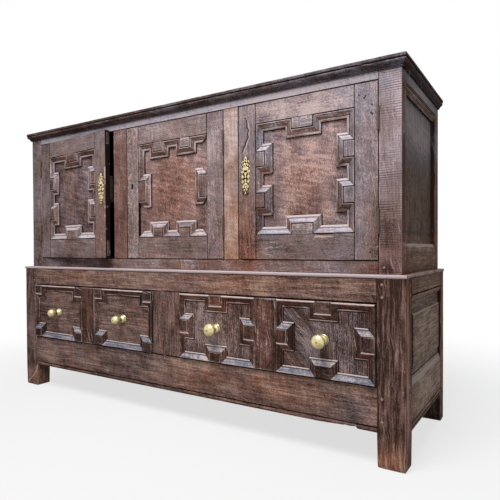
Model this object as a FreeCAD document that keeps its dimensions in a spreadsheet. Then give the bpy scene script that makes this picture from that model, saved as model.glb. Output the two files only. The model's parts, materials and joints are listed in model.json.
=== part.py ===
"""Two-stage joined oak press cupboard: three framed doors above two drawers, on post feet.

Millimetres, +Z up, the front faces -Y. The origin is on the floor, midway along the width and
midway between the knobs' fronts and the back. Members are drawn in a case frame whose Y = 0 is the
front face of the base. Each door is drawn about its own hinge pin, each drawer about the middle of
its opening, and a sub-part's Placement brings it to its place.
"""
import FreeCAD, Part
import os
import re

import Sketcher

SIZES = {
    # Base stage
    "case_width": 1680,
    "case_depth": 512,
    "base_height": 518,
    "post_width": 78,
    "post_depth": 62,
    "back_post_depth": 45,
    "rail_thickness": 30,
    "base_top_rail": 67,
    "base_bottom_low": 94,
    "base_bottom_rail": 128,
    "bead_height": 14,
    "bead_groove": 4,
    "rail_arris": 2,
    "base_muntin": 127,
    "side_rail_thickness": 28,
    "base_side_top": 65,
    "base_side_bottom_low": 96,
    "base_side_bottom": 145,
    "side_chamfer_height": 24,
    "side_chamfer_depth": 9,
    "chamfer_step": 2,
    "chamfer_flat": 4,
    "side_tenon_sink": 9,
    # Waist moulding between the stages
    "waist_thickness": 10,
    "waist_proud": 3,
    "waist_width": 65,
    "waist_lip": 2.5,
    # Upper stage
    "upper_inset": 18,
    "upper_setback": 26,
    "upper_height": 583,
    "upper_post_width": 62,
    "upper_post_depth": 50,
    "upper_top_rail": 44,
    "upper_bottom_rail": 37,
    "left_muntin": 72,
    "right_muntin": 58,
    "muntin_depth": 40,
    "middle_door_opening": 457,
    "upper_side_top": 75,
    "upper_side_bottom": 87,
    "upper_chamfer_height": 11,
    "upper_tenon_sink": 7,
    # Cornice and top boards
    "top_board": 10,
    "cornice_reach": 17,
    "cornice_height": 31,
    "cornice_fillet": 10,
    "cornice_quirk": 3,
    "cornice_foot": 4,
    "cornice_bead": 2,
    "cornice_belly": 4,
    "top_board_count": 3,
    # Panels and boards
    "panel_tongue": 8,
    "side_panel": 10,
    "side_panel_sink": 15,
    "field_sink": 4,
    "field_side": 32,
    "field_foot": 15,
    "field_head": 32,
    "field_gap": 2,
    "back_board": 12,
    "back_board_sink": 10,
    "back_tongue": 10,
    "base_back_count": 3,
    "upper_back_count": 4,
    "floor_board": 16,
    "shelf_rise": 235,
    "shelf_board": 18,
    "shelf_setback": 110,
    "batten": 25,
    # Joints of the frame
    "tenon": 30,
    "tenon_thickness": 10,
    "tenon_shoulder": 9,
    "muntin_tenon": 15,
    "joint_play": 0.2,
    "overrun": 1,
    "peg_radius": 4.5,
    "peg_play": 0.05,
    "peg_length": 26,
    "peg_stand": 0.8,
    "peg_inset": 14,
    # Doors
    "door_thickness": 22,
    "door_gap": 2,
    "door_hinge_stile": 68,
    "outer_free_stile": 65,
    "middle_free_stile": 59,
    "outer_door_top": 64,
    "middle_door_top": 69,
    "door_bottom": 78,
    "door_panel": 8,
    "door_sink": 12.5,
    "door_ajar_angle": 5,
    "door_shoulder": 12,
    # Door mouldings
    "door_band": 25,
    "door_band_face": 12,
    "door_band_lip": 5,
    "top_block_width": 70,
    "pair_block_width": 42,
    "pair_block_offset": 64,
    "block_drop": 33,
    "side_block": 46,
    "side_block_above": 64,
    "side_block_below": 68,
    "middle_block": 75,
    # Butt hinges
    "pin_proud": 4,
    "pin_radius": 1.5,
    "pin_play": 0.05,
    "barrel_radius": 3.5,
    "leaf_depth": 20,
    "leaf_thickness": 0.9,
    "hinge_height": 69,
    "hinge_knuckle": 23,
    "knuckle_play": 0.2,
    "upper_hinge_drop": 105,
    "lower_hinge_rise": 111,
    # Locks
    "lock_rise": 280,
    "lock_length": 60,
    "lock_tall": 90,
    "lock_depth": 14,
    "lock_inset": 2.5,
    "bolt_length": 50,
    "bolt_tall": 22,
    "bolt_thickness": 8,
    "bolt_standoff": 2,
    "bolt_inset": 0.5,
    "bolt_throw": 9,
    "bolt_play": 0.3,
    "mortise_play": 1,
    "key_inset": 27,
    "middle_key_inset": 20,
    "key_radius": 4,
    "key_slot": 4,
    "key_drop": 13,
    # Escutcheon
    "plate_half_width": 18,
    "plate_height": 128,
    "plate_below": 73,
    "plate_thickness": 1.5,
    "plate_pin": 2.2,
    # Drawers
    "drawer_side_gap": 2,
    "drawer_foot_gap": 2,
    "drawer_head_gap": 4,
    "drawer_front": 20,
    "drawer_rear_gap": 30,
    "drawer_side": 12,
    "drawer_side_inset": 1,
    "drawer_side_drop": 7,
    "drawer_running": 0.3,
    "drawer_bottom": 8,
    "drawer_bottom_lift": 4,
    "drawer_groove": 6,
    "drawer_back_drop": 6,
    "drawer_strip": 76,
    "drawer_strip_thickness": 8,
    "drawer_band": 23,
    "drawer_band_face": 9,
    "drawer_band_lip": 3,
    "corner_block_width": 42,
    "corner_block_height": 36,
    "edge_block_width": 46,
    "edge_block_height": 34,
    "flank_block_depth": 38,
    "flank_block_height": 42,
    "runner_width": 32,
    "runner_thickness": 24,
    "guide_height": 40,
    # Knobs
    "knob_reach": 53,
    "left_knob_radius": 17,
    "left_knob_half": 17,
    "right_knob_radius": 21.5,
    "right_knob_half": 14,
    "knob_flange": 15,
    "knob_flange_thickness": 3,
    "knob_neck": 8,
    "knob_shank": 3,
    "knob_nut": 8,
    "knob_nut_thickness": 5,
}

# Places that follow from the sizes, in the case frame.
PLACES = {
    "front_plane": "-(case_depth - knob_reach) / 2",
    "base_side": "case_width / 2",
    "base_inner": "base_side - post_width",
    "back_post_front": "case_depth - back_post_depth",
    "drawer_foot": "base_bottom_low + base_bottom_rail",
    "drawer_head": "base_height - base_top_rail",
    "muntin_half": "base_muntin / 2",
    "stage_floor": "base_height + waist_thickness",
    "upper_top": "stage_floor + upper_height",
    "upper_side": "base_side - upper_inset",
    "upper_inner": "upper_side - upper_post_width",
    "upper_post_back": "upper_setback + upper_post_depth",
    "upper_rear_post": "case_depth - upper_post_depth",
    "door_foot": "stage_floor + upper_bottom_rail",
    "door_head": "upper_top - upper_top_rail",
    "side_door_opening": "upper_inner - (left_muntin + middle_door_opening + right_muntin) / 2",
    "left_muntin_start": "side_door_opening - upper_inner",
    "left_muntin_end": "left_muntin_start + left_muntin",
    "right_muntin_end": "upper_inner - side_door_opening",
    "right_muntin_start": "right_muntin_end - right_muntin",
    "tenon_front": "(rail_thickness - tenon_thickness) / 2",
    "back_board_front": "case_depth - back_board_sink - back_board",
    "cornice_foot_level": "upper_top + top_board - cornice_height",
    "panel_face": "upper_side - side_panel_sink",
    "shelf_height": "door_foot + shelf_rise",
    "lock_height": "door_foot + lock_rise",
    "lower_hinge": "door_foot + lower_hinge_rise",
    "upper_hinge": "door_head - upper_hinge_drop",
    "door_front": "pin_proud",
    "door_back": "pin_proud + door_thickness",
    "door_panel_face": "pin_proud + door_sink",
    "door_low": "door_foot + door_gap",
    "door_high": "door_head - door_gap",
    "leaf_gap": "door_gap / 2",
    "drawer_width": "base_inner - muntin_half - 2 * drawer_side_gap",
    "drawer_low": "drawer_foot + drawer_foot_gap",
    "drawer_high": "drawer_head - drawer_head_gap",
    "drawer_mid": "(drawer_low + drawer_high) / 2",
    "drawer_length": "back_board_front - drawer_rear_gap",
    "drawer_panel": "(drawer_width - drawer_strip) / 2",
    "drawer_side_face": "drawer_width / 2 - drawer_side_inset",
    "drawer_centre": "(base_inner + muntin_half) / 2",
    "knob_offset": "(drawer_strip + drawer_panel) / 2",
}

doc = FreeCAD.newDocument("PressCupboard")
sheet = doc.addObject("Spreadsheet::Sheet", "Sizes")
for row, (alias, size) in enumerate(SIZES.items(), start=1):
    sheet.set(f"A{row}", alias)
    sheet.set(f"B{row}", str(size))
    sheet.setAlias(f"B{row}", alias)
doc.recompute()

NODES = []
QUARTER_TURNS = ("right", "up", "left", "down")


# ---- Expressions -------------------------------------------------------------------------------

def bound(text):
    """Swap the names of sizes and places in a formula for references to the sheet."""
    def swap(match):
        word = match.group(0)
        if word in PLACES:
            return "(" + bound(PLACES[word]) + ")"
        if word in SIZES:
            return "Sizes." + word
        return word
    return re.sub(r"[a-z][a-z_]*", swap, str(text))


def value(text):
    """The number that a formula gives with the sizes as they are."""
    return float(sheet.evalExpression(bound(text)))


def between(low, high):
    """The formula of the distance from low to high."""
    return f"({high}) - ({low})"


def mirrored(span):
    """A pair of low and high values reflected in zero."""
    low, high = span
    return (f"-({high})", f"-({low})")


def toward(side, low, high):
    """A pair measured from a hinge: to the right of it for side 1, to the left for side -1."""
    return (low, high) if side > 0 else mirrored((low, high))


def grown(spans, play="joint_play"):
    """Three pairs of low and high values, let out by a clearance on every side."""
    return [(f"({low}) - {play}", f"({high}) + {play}") for low, high in spans]


# ---- Shapes ------------------------------------------------------------------------------------

def cuboid(x, y, z):
    """A box between pairs of low and high values along the three axes."""
    box = doc.addObject("Part::Box", "Block")
    for size, place, (low, high) in (("Length", "x", x), ("Width", "y", y), ("Height", "z", z)):
        box.setExpression(size, bound(between(low, high)))
        box.setExpression("Placement.Base." + place, bound(low))
    return box


AXIS_TURNS = {
    "x": FreeCAD.Rotation(FreeCAD.Vector(0, 1, 0), 90),
    "y": FreeCAD.Rotation(FreeCAD.Vector(1, 0, 0), -90),
    "z": FreeCAD.Rotation(),
}


def rod(axis, start, length, radius):
    """A cylinder from a start point along an axis."""
    cylinder = doc.addObject("Part::Cylinder", "Rod")
    cylinder.Placement.Rotation = AXIS_TURNS[axis]
    cylinder.setExpression("Radius", bound(radius))
    cylinder.setExpression("Height", bound(length))
    for place, at in zip("xyz", start):
        cylinder.setExpression("Placement.Base." + place, bound(at))
    return cylinder


def joined(pieces):
    """One piece out of several that meet."""
    if len(pieces) == 1:
        return pieces[0]
    union = doc.addObject("Part::MultiFuse", "Joined")
    union.Shapes = pieces
    return union


def cut(base, tools):
    """A piece with the tools taken out of it."""
    if not tools:
        return base
    removed = doc.addObject("Part::Cut", "Cut")
    removed.Base = base
    removed.Tool = joined(tools)
    return removed


def reflected(piece):
    """The same piece on the other side of the case's middle plane."""
    mirror = doc.addObject("Part::Mirroring", "Mirrored")
    mirror.Source = piece
    mirror.Base = FreeCAD.Vector(0, 0, 0)
    mirror.Normal = FreeCAD.Vector(1, 0, 0)
    return mirror


def both_sides(piece):
    """The piece and its reflection."""
    return [piece, reflected(piece)]


# An outline's own plane, and which way it is padded to run along the positive axis.
PAD_PLANES = {"x": ("YZ_Plane", 1), "y": ("XZ_Plane", -1), "z": ("XY_Plane", 1)}


def outline_sketch(body, plane, points):
    """A closed outline of straight lines whose corners follow the sizes."""
    sketch = body.newObject("Sketcher::SketchObject", "Outline")
    origin_plane = [item for item in body.Origin.OriginFeatures if item.Role == plane][0]
    sketch.AttachmentSupport = [(origin_plane, "")]
    sketch.MapMode = "FlatFace"
    corners = [FreeCAD.Vector(value(across), value(up), 0) for across, up in points]
    count = len(corners)
    for index in range(count):
        line = Part.LineSegment(corners[index], corners[(index + 1) % count])
        sketch.addGeometry(line, False)
    for index, (across, up) in enumerate(points):
        sketch.addConstraint(Sketcher.Constraint("Coincident", index, 2, (index + 1) % count, 1))
        for kind, at in (("DistanceX", across), ("DistanceY", up)):
            rule = Sketcher.Constraint(kind, -1, 1, index, 1, value(at))
            sketch.setExpression(f"Constraints[{sketch.addConstraint(rule)}]", bound(at))
    return sketch


def profile(axis, points, low, high):
    """A body whose outline, across the axis, is padded from low to high along it."""
    plane, sense = PAD_PLANES[axis]
    body = doc.addObject("PartDesign::Body", "Profile")
    sketch = outline_sketch(body, plane, points)
    sketch.setExpression("AttachmentOffset.Base.z", bound(f"{sense} * ({low})"))
    pad = body.newObject("PartDesign::Pad", "Length")
    pad.Profile = sketch
    pad.setExpression("Length", bound(between(low, high)))
    pad.Reversed = sense < 0
    body.Tip = pad
    return body


def node(name, pieces, at=("0", "0"), turn=None):
    """A named sub-part, brought to its place: X and Y of its own origin, and its turn about +Z."""
    group = doc.addObject("Part::Compound", name)
    group.Label = name
    group.Links = pieces
    across, back = at
    group.Placement.Rotation = FreeCAD.Rotation(FreeCAD.Vector(0, 0, 1), 1)
    group.setExpression("Placement.Rotation.Angle", bound(turn or "0"))
    group.setExpression("Placement.Base.x", bound(across))
    group.setExpression("Placement.Base.y", bound(f"front_plane + {back}"))
    NODES.append(group)
    return group


# ---- Mouldings ---------------------------------------------------------------------------------

def outline_edges(width, height, low, blocks):
    """Edges of a panel opening, counter-clockwise from its lower left corner, around its blocks.

    The opening is centred on X = 0. blocks gives, for each quarter turn, pairs of the distance
    from the start of that side to the block's middle, its width and its depth. An edge is its start
    point, its direction, its length and the side's name with its number along that side.
    """
    starts = {
        "right": (f"-({width}) / 2", low),
        "up": (f"({width}) / 2", low),
        "left": (f"({width}) / 2", f"{low} + {height}"),
        "down": (f"-({width}) / 2", f"{low} + {height}"),
    }
    steps = {"right": (1, 0), "up": (0, 1), "left": (-1, 0), "down": (0, -1)}
    edges = []
    for turn, side in enumerate(QUARTER_TURNS):
        length = width if side in ("right", "left") else height
        stops = [("0", "0")]
        directions = []
        for middle, wide, deep in blocks.get(side, []):
            for along, inward, change in (
                (f"{middle} - ({wide}) / 2", "0", 0),
                (f"{middle} - ({wide}) / 2", deep, 1),
                (f"{middle} + ({wide}) / 2", deep, 0),
                (f"{middle} + ({wide}) / 2", "0", 3),
            ):
                stops.append((along, inward))
                directions.append((turn + change) % 4)
        stops.append((length, "0"))
        directions.append(turn)
        forward = steps[side]
        inner = steps[QUARTER_TURNS[(turn + 1) % 4]]
        origin = starts[side]
        for number, direction in enumerate(directions):
            (along, inward), (next_along, next_inward) = stops[number], stops[number + 1]
            start = tuple(
                f"({origin[k]}) + {forward[k]} * ({along}) + {inner[k]} * ({inward})" for k in (0, 1)
            )
            if direction % 2 == turn % 2:
                run = between(along, next_along)
            elif (direction - turn) % 4 == 1:
                run = between(inward, next_inward)
            else:
                run = between(next_inward, inward)
            edges.append((start, direction, run, (side, number)))
    return edges


def mitred_strips(edges, face, band, outer, lip, missing=()):
    """Sloping moulding strips, mitred where they meet, laid along the inside of an outline."""
    strips = []
    for index, (start, direction, run, name) in enumerate(edges):
        if name in missing:
            continue
        before = edges[index - 1][1]
        after = edges[(index + 1) % len(edges)][1]
        in_sign = 1 if (direction - before) % 4 == 1 else -1
        out_sign = 1 if (after - direction) % 4 == 1 else -1
        strip = doc.addObject("Part::Wedge", "Strip")
        strip.Xmin = strip.Ymin = strip.Zmin = strip.Z2min = 0
        for side, formula in (
            ("Xmax", run),
            ("Ymax", band),
            ("Zmax", outer),
            ("Z2max", lip),
            ("X2min", f"{in_sign} * {band}"),
            ("X2max", f"{run} - {out_sign} * {band}"),
        ):
            strip.setExpression(side, bound(formula))
        lay = FreeCAD.Rotation(FreeCAD.Vector(1, 0, 0), 90)
        strip.Placement.Rotation = FreeCAD.Rotation(FreeCAD.Vector(0, -1, 0), 90 * direction) * lay
        for place, at in zip("xyz", (start[0], face, start[1])):
            strip.setExpression("Placement.Base." + place, bound(at))
        strips.append(strip)
    return strips


def face_blocks(width, height, low, blocks, face, rise):
    """Flat blocks that stand on a panel against the edge of its opening."""
    pieces = []
    half = f"({width}) / 2"
    top = f"{low} + {height}"
    for side, members in blocks.items():
        for middle, wide, deep in members:
            near = f"{middle} - ({wide}) / 2"
            far = f"{middle} + ({wide}) / 2"
            spans = {
                "right": ((f"{near} - {half}", f"{far} - {half}"), (low, f"{low} + {deep}")),
                "up": ((f"{half} - {deep}", half), (f"{low} + {near}", f"{low} + {far}")),
                "left": ((f"{half} - ({far})", f"{half} - ({near})"), (f"{top} - {deep}", top)),
                "down": ((f"-{half}", f"{deep} - {half}"), (f"{top} - ({far})", f"{top} - ({near})")),
            }
            across, up = spans[side]
            pieces.append(cuboid(across, (f"{face} - {rise}", face), up))
    return pieces


# ---- Base stage --------------------------------------------------------------------------------

FULL_TENON = ("tenon_front", "tenon_front + tenon_thickness")
post_x = ("base_inner", "base_side")
base_top = ("drawer_head", "base_height")
base_bottom = ("base_bottom_low", "drawer_foot")
side_x = ("base_side - side_rail_thickness", "base_side")
side_tenon_x = ("base_side - side_tenon_sink - tenon_thickness", "base_side - side_tenon_sink")


def shouldered(span):
    """A rail's height less a shoulder above and below: its tenon's height."""
    low, high = span
    return (f"({low}) + tenon_shoulder", f"({high}) - tenon_shoulder")


def peg(axis, start, sense=1):
    """A frame peg and the hole it fills, driven from a face along an axis."""
    lead = {"x": 0, "y": 1}[axis]
    at = list(start)
    stand = "peg_stand" if sense > 0 else "peg_length - peg_stand"
    at[lead] = f"{start[lead]} - ({stand})"
    pin = rod(axis, at, "peg_length", "peg_radius")
    hole = rod(axis, at, "peg_length", "peg_radius + peg_play")
    return pin, hole


frame_pegs = []


def pegged(axis, starts, sense=1):
    """Pegs at several places: the pins join the group of pegs, and the holes are handed back.

    Pegs along X are drawn in the right side and reflected for the left.
    """
    holes = []
    for start in starts:
        pin, hole = peg(axis, start, sense)
        frame_pegs.extend(both_sides(pin) if axis == "x" else [pin])
        holes.append(hole)
    return holes


base_peg_levels = [
    f"{level[0]} + {share} * ({between(*level)})"
    for level in (base_top, base_bottom)
    for share in (0.25, 0.75)
]
base_front_holes, base_front_holes_left = (
    pegged("y", [(f"{sign} * (base_inner + peg_inset)", "0", level) for level in base_peg_levels])
    for sign in (1, -1)
)

# Front rails: each a body between the posts with a tenon at both ends.
base_rail_x = ("-base_inner", "base_inner")
base_tenon_x = ("-(base_inner + tenon)", "base_inner + tenon")
base_top_tenon = [base_tenon_x, FULL_TENON, shouldered(base_top)]
base_bottom_tenon = [base_tenon_x, FULL_TENON, shouldered(base_bottom)]
muntin_x = ("-muntin_half", "muntin_half")
muntin_tenon_z = ("drawer_foot - muntin_tenon", "drawer_head + muntin_tenon")
muntin_tenon_x = ("tenon_shoulder - muntin_half", "muntin_half - tenon_shoulder")
base_muntin_tenon = [muntin_tenon_x, FULL_TENON, muntin_tenon_z]

base_top_rail = joined([cuboid(base_rail_x, ("0", "rail_thickness"), base_top), cuboid(*base_top_tenon)])
bead_top = "base_bottom_low + bead_height"
base_bottom_profile = profile(
    "x",
    [
        ("rail_arris / 2", "base_bottom_low"),
        ("rail_thickness", "base_bottom_low"),
        ("rail_thickness", "drawer_foot"),
        ("0", "drawer_foot"),
        ("0", f"{bead_top} + bead_groove"),
        ("bead_groove / 2", f"{bead_top} + bead_groove / 2"),
        ("0", bead_top),
        ("0", "base_bottom_low + rail_arris"),
    ],
    *base_rail_x,
)
base_bottom_rail = joined([base_bottom_profile, cuboid(*base_bottom_tenon)])
base_muntin = joined([
    cuboid(muntin_x, ("0", "rail_thickness"), ("drawer_foot", "drawer_head")),
    cuboid(*base_muntin_tenon),
])
base_front_all = base_front_holes + base_front_holes_left
node("base_top_rail", [cut(base_top_rail, [cuboid(*grown(base_muntin_tenon))] + base_front_all)])
node("base_bottom_rail", [cut(base_bottom_rail, [cuboid(*grown(base_muntin_tenon))] + base_front_all)])
node("base_muntin", [base_muntin])

# Side rails, drawn on the right: the top rail's lower edge and the bottom rail's top edge are eased.
base_side_y = ("post_depth", "back_post_front")
base_side_tenon_y = ("post_depth - tenon", "back_post_front + tenon")
base_side_top_low = "base_height - base_side_top"
base_side_bottom_high = "base_side_bottom_low + base_side_bottom"
base_side_top_rail = profile(
    "y",
    [
        ("base_side - side_rail_thickness", base_side_top_low),
        ("base_side - side_chamfer_depth", base_side_top_low),
        ("base_side - chamfer_step", f"{base_side_top_low} + side_chamfer_height - chamfer_flat"),
        ("base_side - chamfer_step", f"{base_side_top_low} + side_chamfer_height"),
        ("base_side", f"{base_side_top_low} + side_chamfer_height"),
        ("base_side", "base_height"),
        ("base_side - side_rail_thickness", "base_height"),
    ],
    *base_side_y,
)
base_side_bottom_rail = profile(
    "y",
    [
        ("base_side - side_rail_thickness", "base_side_bottom_low"),
        ("base_side", "base_side_bottom_low"),
        ("base_side", f"{base_side_bottom_high} - side_chamfer_height"),
        ("base_side - side_chamfer_depth", base_side_bottom_high),
        ("base_side - side_rail_thickness", base_side_bottom_high),
    ],
    *base_side_y,
)
base_side_top_span = (base_side_top_low, "base_height")
base_side_bottom_span = ("base_side_bottom_low", base_side_bottom_high)
side_tenons = [
    [side_tenon_x, base_side_tenon_y, shouldered(base_side_top_span)],
    [side_tenon_x, base_side_tenon_y, shouldered(base_side_bottom_span)],
]
base_side_levels = [
    f"{level[0]} + {share} * ({between(*level)})"
    for level in (base_side_top_span, base_side_bottom_span)
    for share in (0.3, 0.7)
]
base_side_holes = pegged(
    "x",
    [
        ("base_side", y, level)
        for level in base_side_levels
        for y in ("post_depth - peg_inset", "back_post_front + peg_inset")
    ],
    sense=-1,
)

# Fielded side panel: a tongued board with a raised, bevelled field.
panel_margin = "base_side - side_chamfer_depth"
panel_tongue_back = f"{panel_margin} - side_panel"
base_panel_y = ("post_depth - panel_tongue", "back_post_front + panel_tongue")
base_panel_z = (f"{base_side_bottom_high} - panel_tongue", f"{base_side_top_low} + panel_tongue")
base_panel = [(panel_tongue_back, panel_margin), base_panel_y, base_panel_z]


def raised_field():
    """The bevelled field: a frustum that rises outwards from the panel's margin."""
    field = doc.addObject("Part::Wedge", "Field")
    length = between(*base_side_y)
    height = between(base_side_bottom_high, base_side_top_low)
    field.Ymin = 0
    for side, formula in (
        ("Xmin", "field_gap"),
        ("Xmax", f"{length} - field_gap"),
        ("Zmin", "field_gap"),
        ("Zmax", f"{height} - field_gap"),
        ("Ymax", "side_chamfer_depth - field_sink"),
        ("X2min", "field_side"),
        ("X2max", f"{length} - field_side"),
        ("Z2min", "field_foot"),
        ("Z2max", f"{height} - field_head"),
    ):
        field.setExpression(side, bound(formula))
    field.Placement.Rotation = FreeCAD.Rotation(FreeCAD.Vector(0, 0, 1), -90)
    for place, at in zip("xyz", (panel_margin, "back_post_front", base_side_bottom_high)):
        field.setExpression("Placement.Base." + place, bound(at))
    return field


base_panel_right = joined([cuboid(*base_panel), raised_field()])
node("base_side_panels", both_sides(base_panel_right))

panel_groove = cuboid(*grown(base_panel))
base_side_rails = [
    cut(joined([base_side_top_rail, cuboid(*side_tenons[0])]), [panel_groove] + base_side_holes),
    cut(joined([base_side_bottom_rail, cuboid(*side_tenons[1])]), [panel_groove] + base_side_holes),
]
node("base_side_rails", base_side_rails + [reflected(rail) for rail in base_side_rails])


def board_stack(x, y, low, high, count):
    """Equal boards, edge to edge, from low to high."""
    step = f"({between(low, high)}) / {count}"
    return [
        cuboid(x, y, (f"{low} + {index} * {step}", f"{low} + {index + 1} * {step}"))
        for index in range(int(value(count)))
    ]


back_y = ("back_board_front", "back_board_front + back_board")
base_back_x = ("-(base_inner + back_tongue)", "base_inner + back_tongue")
base_back = board_stack(base_back_x, back_y, "base_bottom_low", "base_height", "base_back_count")
node("base_back_boards", base_back)
base_back_groove = cuboid(*grown([base_back_x, back_y, ("base_bottom_low", "base_height")]))

side_mortises = [cuboid(*grown(tenon)) for tenon in side_tenons]
front_mortises = [cuboid(*grown(base_top_tenon)), cuboid(*grown(base_bottom_tenon))]
front_post = cuboid(post_x, ("0", "post_depth"), ("0", "base_height"))
shared_front = side_mortises + [panel_groove] + base_side_holes
front_post_right = cut(front_post, front_mortises + shared_front + base_front_holes)
node("base_front_right_post", [front_post_right])
node("base_front_left_post", [reflected(front_post_right)])
back_post = cut(
    cuboid(post_x, ("back_post_front", "case_depth"), ("0", "base_height")),
    side_mortises + [panel_groove, base_back_groove] + base_side_holes,
)
node("base_back_posts", both_sides(back_post))

# Drawer runners behind the front rail: one under each outer side, a wide one with a guide between.
runner_y = ("rail_thickness", "back_board_front")
runner_z = ("drawer_foot - runner_thickness", "drawer_foot")
node("drawer_runners", both_sides(cuboid(("base_inner - runner_width", "base_inner"), runner_y, runner_z)) + [
    cuboid(("-(muntin_half + runner_width)", "muntin_half + runner_width"), runner_y, runner_z),
    cuboid(muntin_x, runner_y, ("drawer_foot", "drawer_foot + guide_height")),
])


# ---- Waist moulding ----------------------------------------------------------------------------

def mitre_block(x, y, z, size, angle):
    """A square block turned about its lower corner, to trim the end of a moulding at 45 degrees."""
    block = doc.addObject("Part::Box", "Mitre")
    block.Placement.Rotation = FreeCAD.Rotation(FreeCAD.Vector(0, 0, 1), angle)
    block.setExpression("Length", bound(size))
    block.setExpression("Width", bound(size))
    block.setExpression("Height", bound(between(*z)))
    for place, at in zip("xyz", (x, y, z[0])):
        block.setExpression("Placement.Base." + place, bound(at))
    return block


def returned_moulding(shape, half, front, reach, width, z):
    """A front strip and two returns, mitred at the corners.

    shape(out, sign) gives the profile's points, with out the outer plane and sign the way inwards.
    half and front are where the case's side and front lie, and reach is how far the moulding stands out.
    """
    corner_x = f"{half} + {reach} - ({width})"
    corner_y = f"{front} - {reach} + ({width})"
    size = f"2 * ({width})"
    front_strip = profile("x", shape(f"{front} - {reach}", 1), f"-({half} + {reach})", f"{half} + {reach}")
    ends = [
        mitre_block(corner_x, corner_y, z, size, -45),
        mitre_block(f"-({corner_x})", corner_y, z, size, 135),
    ]
    side_strip = profile("y", shape(f"{half} + {reach}", -1), f"{front} - {reach}", "case_depth")
    side_end = mitre_block(corner_x, corner_y, z, size, -135)
    return [cut(front_strip, ends)] + both_sides(cut(side_strip, [side_end]))


def waist_shape(out, sign):
    """A flat strip with an eased lip."""
    low, high = "base_height", "stage_floor"
    inner = f"{out} + {sign} * waist_width"
    lip = f"{out} + {sign} * waist_lip"
    return [
        (lip, low),
        (inner, low),
        (inner, high),
        (lip, high),
        (out, f"{high} - waist_lip"),
        (out, f"{low} + waist_lip"),
    ]


def cornice_shape(out, sign):
    """A square fillet over a hollow that runs in to the frame."""
    top = "upper_top + top_board"
    inner = f"{out} + {sign} * cornice_reach"
    under = f"{top} - cornice_fillet"
    quirk = f"{out} + {sign} * cornice_quirk"
    belly = f"{out} + {sign} * (cornice_quirk + cornice_belly)"
    foot = f"{out} + {sign} * (cornice_reach - cornice_foot)"
    return [
        (out, top),
        (inner, top),
        (inner, "cornice_foot_level"),
        (foot, "cornice_foot_level"),
        (foot, "cornice_foot_level + cornice_foot"),
        (belly, f"{under} - cornice_bead - cornice_belly"),
        (quirk, f"{under} - cornice_bead"),
        (quirk, under),
        (out, under),
    ]


waist_z = ("base_height - overrun", "stage_floor + overrun")
waist = returned_moulding(waist_shape, "base_side", "0", "waist_proud", "waist_width", waist_z)
node("waist_moulding", waist)
cornice_z = ("cornice_foot_level - overrun", "upper_top + top_board + overrun")
cornice = returned_moulding(
    cornice_shape, "upper_side", "upper_setback", "cornice_reach", "cornice_reach", cornice_z
)
node("cornice", cornice)


# ---- Upper stage -------------------------------------------------------------------------------

upper_post_x = ("upper_inner", "upper_side")
upper_post_z = ("stage_floor", "upper_top")
upper_front_y = ("upper_setback", "upper_setback + rail_thickness")
upper_tenon_y = ("upper_setback + tenon_front", "upper_setback + tenon_front + tenon_thickness")
upper_top_z = ("door_head", "upper_top")
upper_bottom_z = ("stage_floor", "door_foot")
upper_rail_x = ("-upper_inner", "upper_inner")
upper_tenon_x = ("-(upper_inner + tenon)", "upper_inner + tenon")
upper_top_tenon = [upper_tenon_x, upper_tenon_y, shouldered(upper_top_z)]
upper_bottom_tenon = [upper_tenon_x, upper_tenon_y, shouldered(upper_bottom_z)]
upper_muntins = {
    "upper_left_muntin": ("left_muntin_start", "left_muntin_end"),
    "upper_right_muntin": ("right_muntin_start", "right_muntin_end"),
}
upper_muntin_tenons = [
    [
        (f"{span[0]} + tenon_shoulder", f"{span[1]} - tenon_shoulder"),
        upper_tenon_y,
        ("door_foot - muntin_tenon", "door_head + muntin_tenon"),
    ]
    for span in upper_muntins.values()
]
upper_levels = ["door_head + 0.4 * upper_top_rail", "stage_floor + 0.5 * upper_bottom_rail"]
upper_holes_right, upper_holes_left = (
    pegged("y", [(f"{sign} * (upper_inner + peg_inset)", "upper_setback", level) for level in upper_levels])
    for sign in (1, -1)
)
muntin_holes = pegged("y", [
    (f"({span[0]} + {span[1]}) / 2", "upper_setback", level)
    for span in upper_muntins.values()
    for level in ("door_head + muntin_tenon / 2", "door_foot - muntin_tenon / 2")
])
upper_front_holes = upper_holes_right + upper_holes_left + muntin_holes
muntin_mortises = [cuboid(*grown(tenon)) for tenon in upper_muntin_tenons]
for name, z, tenon in (
    ("upper_top_rail", upper_top_z, upper_top_tenon),
    ("upper_bottom_rail", upper_bottom_z, upper_bottom_tenon),
):
    rail = joined([cuboid(upper_rail_x, upper_front_y, z), cuboid(*tenon)])
    node(name, [cut(rail, muntin_mortises + upper_front_holes)])

bolt_y = ("door_back + bolt_standoff", "door_back + bolt_standoff + bolt_thickness")
bolt_z = ("lock_height - bolt_tall / 2", "lock_height + bolt_tall / 2")
pin_plane = "upper_setback - pin_proud"


def bolt_mortise(face, sense):
    """The hole in a muntin's side that takes a thrown bolt, let in from a face along X."""
    depth = "bolt_throw - door_gap - bolt_inset + 2 * mortise_play"
    span = (f"{face} - overrun", f"{face} + {depth}")
    if sense < 0:
        span = (f"{face} - ({depth})", f"{face} + overrun")
    y = (f"{pin_plane} + {bolt_y[0]} - mortise_play", f"{pin_plane} + {bolt_y[1]} + mortise_play")
    z = (f"{bolt_z[0]} - mortise_play", f"{bolt_z[1]} + mortise_play")
    return cuboid(span, y, z)


muntin_locks = {
    "upper_left_muntin": [bolt_mortise("left_muntin_start", 1), bolt_mortise("left_muntin_end", -1)],
    "upper_right_muntin": [bolt_mortise("right_muntin_end", -1)],
}
for (name, span), tenon in zip(upper_muntins.items(), upper_muntin_tenons):
    post = cuboid(span, ("upper_setback", "upper_setback + muntin_depth"), ("door_foot", "door_head"))
    node(name, [cut(joined([post, cuboid(*tenon)]), muntin_locks[name] + muntin_holes)])

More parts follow.
